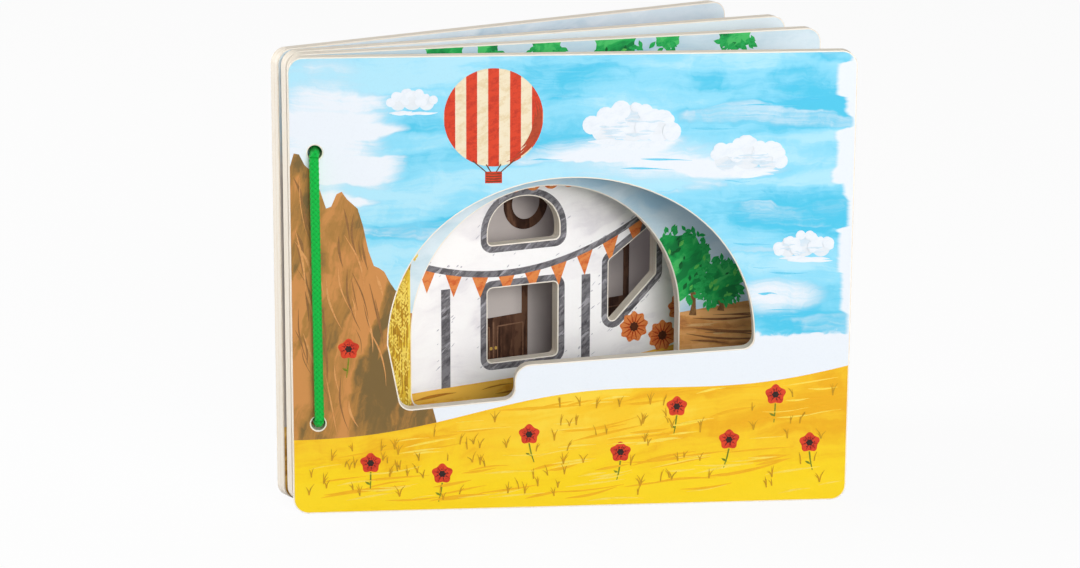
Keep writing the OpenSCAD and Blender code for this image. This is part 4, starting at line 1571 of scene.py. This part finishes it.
@dataclass
class BackPicture(Picture):
    """A room with cupboards, round frames and a boarded floor."""

    floor_top: float = 30.0
    cupboards: tuple[float, ...] = (100.0, 152.0)
    cupboard: tuple[float, float] = (34.0, 52.0)
    plank_rows: int = 5
    plank_w: int = 5
    plank_length: int = 30

    def dress(self) -> None:
        """Paint the back board's fields."""
        wall = Wash(
            "grey_wash", "ECF5FA", "DCEAF2", "BCD4E2", (46, 14), tilt=8,
            fade_tint="BBADA4", fade_span=(130, 154), seed=2.0,
        )
        self.paint_field("wall", wall)
        wood = Wash("dark_brown_wash", "6A4B38", "503527", "382319", (18, 2.4), tilt=88, contrast=1.2)
        self.paint_field("furniture", wood)
        floor = Wash("floor_wash", "E6BF62", "D3A244", "B58230", (50, 4), contrast=1.2, seed=4.0)
        self.paint_field("floor", floor)

    def build(self) -> None:
        """Lay the back board's brush marks."""
        self._cupboard_marks()
        self._floor_marks()

    def _cupboard_marks(self) -> None:
        """Lay the cupboards' panel lines and knobs."""
        width, tall = self.cupboard
        lines, knobs = self.marks("panel_lines", 0.05), self.marks("knobs", 0.05)
        for x in self.cupboards:
            foot = self.floor_top + 4
            lines.stroke([(x, foot + 1), (x, foot + tall / 2 - 2)], [0.6, 0.6], 3)
            for side in (-1, 1):
                left, right = sorted((x + side * 2, x + side * (width / 2 - 2.4)))
                low, high = foot + 3, foot + tall / 2 - 4
                corners = [(left, low), (right, low), (left, high), (right, high)]
                for a, b in ((0, 1), (2, 3), (0, 2), (1, 3)):
                    lines.stroke([corners[a], corners[b]], [0.5, 0.5], 3)
                knobs.dab(x + side * 1.2, foot + tall / 4, 0.7)
        lines.build(Gouache("walnut_lines", "8A6750", "765440", 3.0), "dark_brown_print")
        knobs.build(Gouache("brass_dabs", "D9B25A", "BF963F", 1.0), "dark_brown_print")

    def _floor_marks(self) -> None:
        """Lay the lines between the floor's planks."""
        floor = Field("back_floor", self.leaf)
        planks = self.marks("floor_planks")
        for row in range(1, self.plank_rows + 1):
            z = self.plank_w * row
            for x in range(4, 214, self.plank_length):
                line = [(x + 1, z), (x + 15, z + self.draw.uniform(-0.2, 0.2)), (x + 29, z)]
                if floor.holds(line, 0.5):
                    planks.stroke(line, [0.4, 0.5, 0.3], 3)
        planks.build(Gouache("plank_lines", "9A6A2C", "825722", 3.0), "ochre_wash")


@dataclass
class Reverse:
    """The plain washes on the backs of the boards."""

    binding: Binding

    def dress(self) -> None:
        """Paint the back of each board."""
        finishes = {
            "front": ("CFE9F6", "BBDFF2", "9FD0EA"),
            "second": ("D6EBD3", "C5E1C2", "A9D0A8"),
            "third": ("E6DEEC", "D9CFE3", "C5B8D3"),
            "back": ("CFE9F6", "B5DCF1", "93CBE8"),
        }
        for leaf in self.binding.leaves:
            pale, middle, deep = finishes[leaf.name]
            reach = Reach(left=9, right=BOARD_W - 9, low=9, high=BOARD_H - 9, ragged=6)
            wash = Wash(
                "reverse_wash", pale, middle, deep, (70, 8), contrast=1.1, ground="F5F5F2", reach=reach,
                gaps=(Patch(120, 96, 60, 40, 0.6),), seed=20.0 + leaf.number,
            )
            wash.dress(frame["nodes"][f"{leaf.name}_reverse"], leaf)
            log.info("%s_reverse: plain wash", leaf.name)


# The cord


@dataclass
class Tube:
    """A round length of cord along a route, with the braid's stitches in its mesh."""

    name: str
    route: list[Vector]
    radii: list[float]
    braid: Braid
    sides: int = 48
    pitch_mm: float = 0.3
    steps: int = 8
    stretch: Callable[[float], float] | None = None

    def build(self) -> bpy.types.Object:
        """Make the length of cord, with closed ends.

        Returns:
            The new object.
        """
        centres = smoothed(self.route, self.steps)
        sizes = [s.x for s in smoothed([Vector((r, 0, 0)) for r in self.radii], self.steps)]
        lengths = [0.0]
        for a, b in zip(centres, centres[1:]):
            lengths.append(lengths[-1] + (b - a).length / MM)
        count = max(2, round(lengths[-1] / self.pitch_mm))
        points: list[Vector] = []
        lays: list[float] = []
        side = Vector((1, 0, 0))
        j = 0
        for i in range(count + 1):
            at = lengths[-1] * i / count
            while j < len(lengths) - 2 and lengths[j + 1] < at:
                j += 1
            s = (at - lengths[j]) / max(lengths[j + 1] - lengths[j], 1e-9)
            centre = centres[j].lerp(centres[j + 1], s)
            ahead = (centres[min(j + 2, len(centres) - 1)] - centres[max(j - 1, 0)]).normalized()
            side = (side - ahead * side.dot(ahead)).normalized()
            other = ahead.cross(side)
            radius = sizes[j] + (sizes[j + 1] - sizes[j]) * s
            lay = self.stretch(at) if self.stretch else at
            lays.append(lay)
            for k in range(self.sides):
                a = math.tau * k / self.sides
                high = self.braid.height(k / self.sides, lay)
                reach = (radius - self.braid.depth_mm * (1 - high)) * MM
                points.append(centre + (side * math.cos(a) + other * math.sin(a)) * reach)
        return self._mesh(points, lays)

    def _mesh(self, points: list[Vector], lays: list[float]) -> bpy.types.Object:
        """Join the rings into a closed mesh.

        Args:
            points: The rings' points.
            lays: Each ring's place along the braid.

        Returns:
            The new object, with its places on the braid in its UV map.
        """
        rings = len(lays)
        faces: list[tuple[int, ...]] = []
        places: list[tuple[float, float]] = []
        for i in range(rings - 1):
            near, far = i * self.sides, (i + 1) * self.sides
            for k in range(self.sides):
                b = (k + 1) % self.sides
                faces.append((near + k, near + b, far + b, far + k))
                for turn, ring in ((k, i), (k + 1, i), (k + 1, i + 1), (k, i + 1)):
                    places.append((turn / self.sides, lays[ring]))
        for ring, order in ((0, range(self.sides - 1, -1, -1)), (rings - 1, range(self.sides))):
            faces.append(tuple(ring * self.sides + k for k in order))
            places += [(k / self.sides, lays[ring]) for k in order]
        mesh = bpy.data.meshes.new(self.name)
        mesh.from_pydata([tuple(p) for p in points], [], faces)
        lay_map = mesh.uv_layers.new(name="lay")
        for spot, place in zip(lay_map.data, places):
            spot.uv = place
        for face in mesh.polygons:
            face.use_smooth = len(face.vertices) == 4
        mesh.update()
        tube = bpy.data.objects.new(self.name, mesh)
        bpy.context.scene.collection.objects.link(tube)
        self.braid.dress(tube)
        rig.slot(tube, "green_cord")
        log.info("%s: %d rings of braid", self.name, rings)
        return tube


@dataclass
class BindingCord:
    """The loop of cord: a front run, a back run with its knot, and a link in every gap."""

    binding: Binding
    radius: float = 1.9
    run_off: float = 2.2
    bend_r: float = 2.3
    hole_r: float = 2.8
    hole_x: float = 10.0
    hole_z: float = 36.5
    lean: float = 0.8
    knot_z: float = 90.0
    knot_length: float = 12.6
    knot_off: float = 2.6
    wrap_turns: int = 3
    wrap_r: float = 1.6
    wrap_in: float = 0.8
    wrap_out: float = 1.5
    tail_length: float = 15.0
    tail_spread: float = 4.4
    tail_steps: int = 8
    bend_steps: int = 4
    front_steps: int = 10
    back_steps: int = 24
    wrap_steps: int = 14
    wrap_pitch: float = 2.05
    link_open: float = 12.0
    link_pitch: float = 0.12
    blend_in: float = 0.2
    braid: Braid = field(default_factory=Braid)

    def build(self) -> None:
        """Build the whole loop."""
        self._front_run()
        self._back_run()
        self._knot()
        for low in (True, False):
            for first, second in zip(self.binding.leaves, self.binding.leaves[1:]):
                self._link(first, second, low)

    def _bend(self, leaf: Leaf, low: bool, out: int, lean: float) -> list[Vector]:
        """Find a quarter bend from inside a hole out to a run.

        Args:
            leaf: The board.
            low: True at the lower hole.
            out: -1 at the front face, +1 at the back face.
            lean: How far the run's end lies off the hole's middle.

        Returns:
            The bend's points, from mid-board to the run.
        """
        up = 1 if low else -1
        hole = self.hole_z if low else self.binding.height - self.hole_z
        face = 0.0 if out < 0 else leaf.thickness
        middle = face + out * (self.run_off - self.bend_r)
        inside = hole + up * (self.hole_r - self.bend_r)
        line = [leaf.point(self.hole_x, leaf.thickness / 2, inside)]
        for i in range(self.bend_steps + 1):
            a = math.radians(90 - 90 * i / self.bend_steps)
            y = middle + out * self.bend_r * math.cos(a)
            z = hole + up * (self.hole_r - self.bend_r * math.sin(a))
            line.append(leaf.point(self.hole_x + lean * math.cos(a), y, z))
        return line

    def _front_run(self) -> None:
        """Build the run down the front, from hole to hole."""
        leaf = self.binding.leaf("front")
        low_z = self.hole_z + self.hole_r
        high_z = self.binding.height - low_z
        steps = self.front_steps
        run = [
            leaf.point(self.hole_x + self.lean * (s - 0.5), -self.run_off, high_z + (low_z - high_z) * s)
            for s in (i / steps for i in range(1, steps))
        ]
        route = self._bend(leaf, False, -1, -self.lean / 2) + run
        route += list(reversed(self._bend(leaf, True, -1, self.lean / 2)))
        self._hold(Tube("cord_front_run", route, [self.radius] * len(route), self.braid), leaf)

    def _hold(self, tube: Tube, leaf: Leaf) -> None:
        """Build a length of cord that moves with a board.

        Args:
            tube: The length of cord.
            leaf: The board.
        """
        built = tube.build()
        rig.ride(built, f"{leaf.name}_leaf")
        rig.replaces(built, "binding_cord")

    def _swell(self, z: float) -> float:
        """Find how far the knot pushes the run off the back board at a height."""
        s = min(1.0, abs(z - self.knot_z) / (self.knot_length * 0.8))
        return self.knot_off * math.cos(math.pi / 2 * s) ** 2

    def _back_run(self) -> None:
        """Build the run up the back, through the knot."""
        leaf = self.binding.leaf("back")
        low_z = self.hole_z + self.hole_r
        high_z = self.binding.height - low_z
        steps = self.back_steps
        route = self._bend(leaf, True, 1, 0.0)
        radii = [self.radius] * len(route)
        for i in range(1, steps):
            z = low_z + (high_z - low_z) * i / steps
            route.append(leaf.point(self.hole_x, leaf.thickness + self.run_off + self._swell(z), z))
            squeezed = self._swell(z) / self.knot_off
            radii.append(self.radius - 0.4 * squeezed)
        ending = list(reversed(self._bend(leaf, False, 1, 0.0)))
        route += ending
        radii += [self.radius] * len(ending)
        self._hold(Tube("cord_back_run", route, radii, self.braid), leaf)

    def _knot(self) -> None:
        """Build the wraps of the knot and its two loose ends."""
        leaf = self.binding.leaf("back")
        y = leaf.thickness + self.run_off + self.knot_off
        turns, steps = self.wrap_turns, self.wrap_steps
        route: list[Vector] = []
        radii: list[float] = []
        rise = self.wrap_r * self.wrap_pitch
        foot = self.knot_z - rise * turns / 2
        for i in range(turns * steps + 1):
            a = math.tau * i / steps
            tuck = min(1.0, i / (steps * 0.3), (turns * steps - i) / (steps * 0.3))
            off = self.wrap_in + (self.wrap_out + self.wrap_r * 0.92 - self.wrap_in) * tuck
            x, depth = self.hole_x + off * math.sin(a), y + off * math.cos(a) * 0.94
            route.append(leaf.point(x, depth, foot + rise * i / steps))
            radii.append(self.wrap_r * (0.75 + 0.25 * tuck))
        self._hold(Tube("cord_knot_wrap", route, radii, self.braid, sides=40), leaf)
        for side, share, name in ((-1, 1, "left"), (1, 0.93, "right")):
            tail: list[Vector] = []
            for i in range(self.tail_steps + 1):
                s = i / self.tail_steps
                x = self.hole_x + side * (1.2 + self.tail_spread * math.sin(math.pi / 2 * s) ** 1.2)
                depth = leaf.thickness + self.run_off + self.knot_off * (1 - s) ** 1.6 * 0.8 + 0.05
                z = self.knot_z - 2.0 - (self.knot_length / 2 - 3 + self.tail_length) * s * share
                tail.append(leaf.point(x, depth, z))
            plain = [self.radius] * (self.tail_steps - 2)
            radii = [self.radius * 0.85, *plain, self.radius * 0.98, self.radius * 0.9]
            self._hold(Tube(f"cord_tail_{name}", tail, radii, self.braid), leaf)

    def _link(self, first: Leaf, second: Leaf, low: bool) -> None:
        """Build the cord in the gap between two boards, at one hole.

        Args:
            first: The board in front.
            second: The board behind it.
            low: True at the lower hole.
        """
        up = 1 if low else -1
        hole = self.hole_z if low else self.binding.height - self.hole_z
        z = hole + up * (self.hole_r - self.bend_r)
        depth = first.thickness
        route = [first.point(self.hole_x, y, z) for y in (depth / 2, depth * 0.75, depth)]
        route += [second.point(self.hole_x, y, z) for y in (0, depth * 0.25, depth / 2)]
        place = "low" if low else "high"
        name = f"cord_link_{place}_{first.name}_{second.name}"
        gap = (route[3] - route[2]).length / MM

        def stretch(at: float) -> float:
            """Crowd the stitches in the gap, which opens as the boards turn."""
            s = min(max((at - depth / 2) / gap, 0.0), 1.0)
            return at + (self.link_open - gap) * s

        radii = [self.radius] * len(route)
        tube = Tube(name, route, radii, self.braid, pitch_mm=self.link_pitch, stretch=stretch).build()
        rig.replaces(tube, "binding_cord")
        start = first.point(self.hole_x, depth - self.blend_in, z)
        end = second.point(self.hole_x, self.blend_in, z)
        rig.blend(tube, f"{first.name}_leaf", f"{second.name}_leaf", start=tuple(start), end=tuple(end))


# The studio


class Sight(Enum):
    """The kinds of ray that see the plain white background."""

    CAMERA = "Is Camera Ray"
    GLOSSY = "Is Glossy Ray"
    THROUGH = "Is Transmission Ray"


@dataclass(frozen=True)
class Lamp:
    """A soft square lamp: where it hangs, its side in metres and its power in watts."""

    name: str
    place: tuple[float, float, float]
    size: float
    power: float


@dataclass
class Studio:
    """A plain pale floor, soft lights and the camera.

    The floor throws back less light on the book than it shows to the camera.
    """

    lamps: tuple[Lamp, ...] = (
        Lamp("key", (0.2, -2.0, 0.8), 0.8, 17.5),
        Lamp("fill", (0.95, -1.85, 0.5), 0.9, 18.5),
        Lamp("left", (-1.8, 0.35, 0.7), 1.0, 28),
        Lamp("top", (0.1, 0.5, 1.9), 1.4, 9),
    )
    aim: tuple[float, float, float] = (0, 0, 0.08)
    eye_mm: tuple[float, float, float] = (-129.71, -1246.54, 386.6)
    yaw_deg: float = -5.77
    pitch_deg: float = 13.98
    roll_deg: float = 0.25
    lens: float = 105.97
    sensor: float = 36.0
    world_level: float = 0.15
    floor_half: float = 6.0
    floor_gap_mm: float = 0.05
    floor_colour: Colour = (0.5, 0.5, 0.505)
    seen_colour: Colour = (0.9, 0.9, 0.9)
    floor_share: float = 0.93

    def build(self) -> None:
        """Set up the floor, the world, the lights and the camera."""
        scene = bpy.context.scene
        scene.view_settings.view_transform = "Standard"
        self._floor()
        self._world(scene)
        for lamp in self.lamps:
            self._hang(lamp)
        self._camera(scene)

    def _seen(self, paint: Paint) -> Sum:
        """Tell a material whether a ray sees the background.

        Args:
            paint: The material.

        Returns:
            1 where it does, 0 elsewhere.
        """
        path = paint.node("ShaderNodeLightPath", {}, {})
        kinds = [Sum(paint, path.outputs[sight.value]) for sight in Sight]
        return kinds[0].most(kinds[1]).most(kinds[2])

    def _floor(self) -> None:
        """Build the floor, which keeps the book's shadow."""
        mesh = bpy.data.meshes.new("floor")
        half = self.floor_half
        corners = [(-half, -half, 0), (half, -half, 0), (half, half, 0), (-half, half, 0)]
        mesh.from_pydata(corners, [], [(0, 1, 2, 3)])
        floor = bpy.data.objects.new("floor", mesh)
        floor.location.z = -self.floor_gap_mm * MM
        bpy.context.scene.collection.objects.link(floor)
        paint = Paint("floor_white")
        lit = paint.node("ShaderNodeBsdfDiffuse", {}, {"Color": self.floor_colour}).outputs[0]
        pale = paint.node("ShaderNodeBsdfDiffuse", {}, {"Color": self.seen_colour}).outputs[0]
        glow = paint.node("ShaderNodeEmission", {}, {"Color": (1.0, 1.0, 1.0), "Strength": 1.0}).outputs[0]
        shown = paint.node("ShaderNodeMixShader", {}, {0: self.floor_share, 1: pale, 2: glow}).outputs[0]
        both = paint.node("ShaderNodeMixShader", {}, {0: self._seen(paint), 1: lit, 2: shown}).outputs[0]
        paint.tree.links.new(both, paint.output.inputs["Surface"])
        paint.wear(floor)
        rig.stage(floor)
        log.info("floor: pale, with the shadow kept")

    def _world(self, scene: bpy.types.Scene) -> None:
        """Light the scene evenly, and show white behind it.

        Args:
            scene: The scene.
        """
        world = bpy.data.worlds.new("studio")
        world.use_nodes = True
        tree = world.node_tree
        tree.nodes.clear()
        path = tree.nodes.new("ShaderNodeLightPath")
        soft, white = tree.nodes.new("ShaderNodeBackground"), tree.nodes.new("ShaderNodeBackground")
        soft.inputs["Strength"].default_value = self.world_level
        soft.inputs["Color"].default_value = (1.0, 1.0, 1.0, 1.0)
        white.inputs["Color"].default_value = (1.0, 1.0, 1.0, 1.0)
        mix = tree.nodes.new("ShaderNodeMixShader")
        out = tree.nodes.new("ShaderNodeOutputWorld")
        tree.links.new(path.outputs[Sight.CAMERA.value], mix.inputs[0])
        tree.links.new(soft.outputs[0], mix.inputs[1])
        tree.links.new(white.outputs[0], mix.inputs[2])
        tree.links.new(mix.outputs[0], out.inputs["Surface"])
        scene.world = world
        log.info("world: level %.2f", self.world_level)

    def _hang(self, lamp: Lamp) -> None:
        """Hang a lamp so that it faces the book.

        Args:
            lamp: The lamp.
        """
        light = bpy.data.lights.new(lamp.name, "AREA")
        light.shape = "SQUARE"
        light.size = lamp.size
        light.energy = lamp.power
        thing = bpy.data.objects.new(lamp.name, light)
        thing.location = lamp.place
        aim = Vector(self.aim) - Vector(lamp.place)
        thing.rotation_euler = aim.to_track_quat("-Z", "Y").to_euler()
        bpy.context.scene.collection.objects.link(thing)
        log.info("%s light: %.1f W", lamp.name, lamp.power)

    def _camera(self, scene: bpy.types.Scene) -> None:
        """Set the camera at the photograph's viewing angle.

        Args:
            scene: The scene.
        """
        yaw, pitch, roll = (math.radians(a) for a in (self.yaw_deg, self.pitch_deg, self.roll_deg))
        flat = math.cos(pitch)
        ahead = Vector((-math.sin(yaw) * flat, math.cos(yaw) * flat, -math.sin(pitch)))
        level = Vector((math.cos(yaw), math.sin(yaw), 0))
        above = level.cross(ahead)
        right = level * math.cos(roll) + above * math.sin(roll)
        top = above * math.cos(roll) - level * math.sin(roll)
        lens = bpy.data.cameras.new("camera")
        lens.sensor_fit = "HORIZONTAL"
        lens.sensor_width = self.sensor
        lens.lens = self.lens
        camera = bpy.data.objects.new("camera", lens)
        turn = Matrix((right, top, -ahead)).transposed()
        camera.matrix_world = Matrix.Translation(Vector(self.eye_mm) * MM) @ turn.to_4x4()
        scene.collection.objects.link(camera)
        scene.camera = camera
        log.info("camera: %.1f mm lens", self.lens)


def keep_sizes(first: tuple[Vector, Vector]) -> None:
    """Write the box of the solids and the box of the dressed part.

    Args:
        first: The lowest and highest corner straight after loading.
    """
    boxes = {"cad": first, "dressed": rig.bounds()}
    plain = {name: [list(corner) for corner in box] for name, box in boxes.items()}
    with open("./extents.json", "w", encoding="utf-8") as out:
        json.dump(plain, out)


def main() -> None:
    """Build and dress the whole book, in order."""
    logging.basicConfig(level=logging.INFO, format="%(name)s: %(message)s")
    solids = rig.bounds()
    binding = Binding()
    Boards(binding).dress()
    pictures = (
        FrontPicture(binding.leaf("front"), 11),
        SecondPicture(binding.leaf("second"), 12),
        ThirdPicture(binding.leaf("third"), 13),
        BackPicture(binding.leaf("back"), 14),
    )
    for picture in pictures:
        picture.dress()
        picture.build()
    Reverse(binding).dress()
    BindingCord(binding).build()
    Studio().build()
    keep_sizes(solids)


if __name__ == "__main__":
    main()
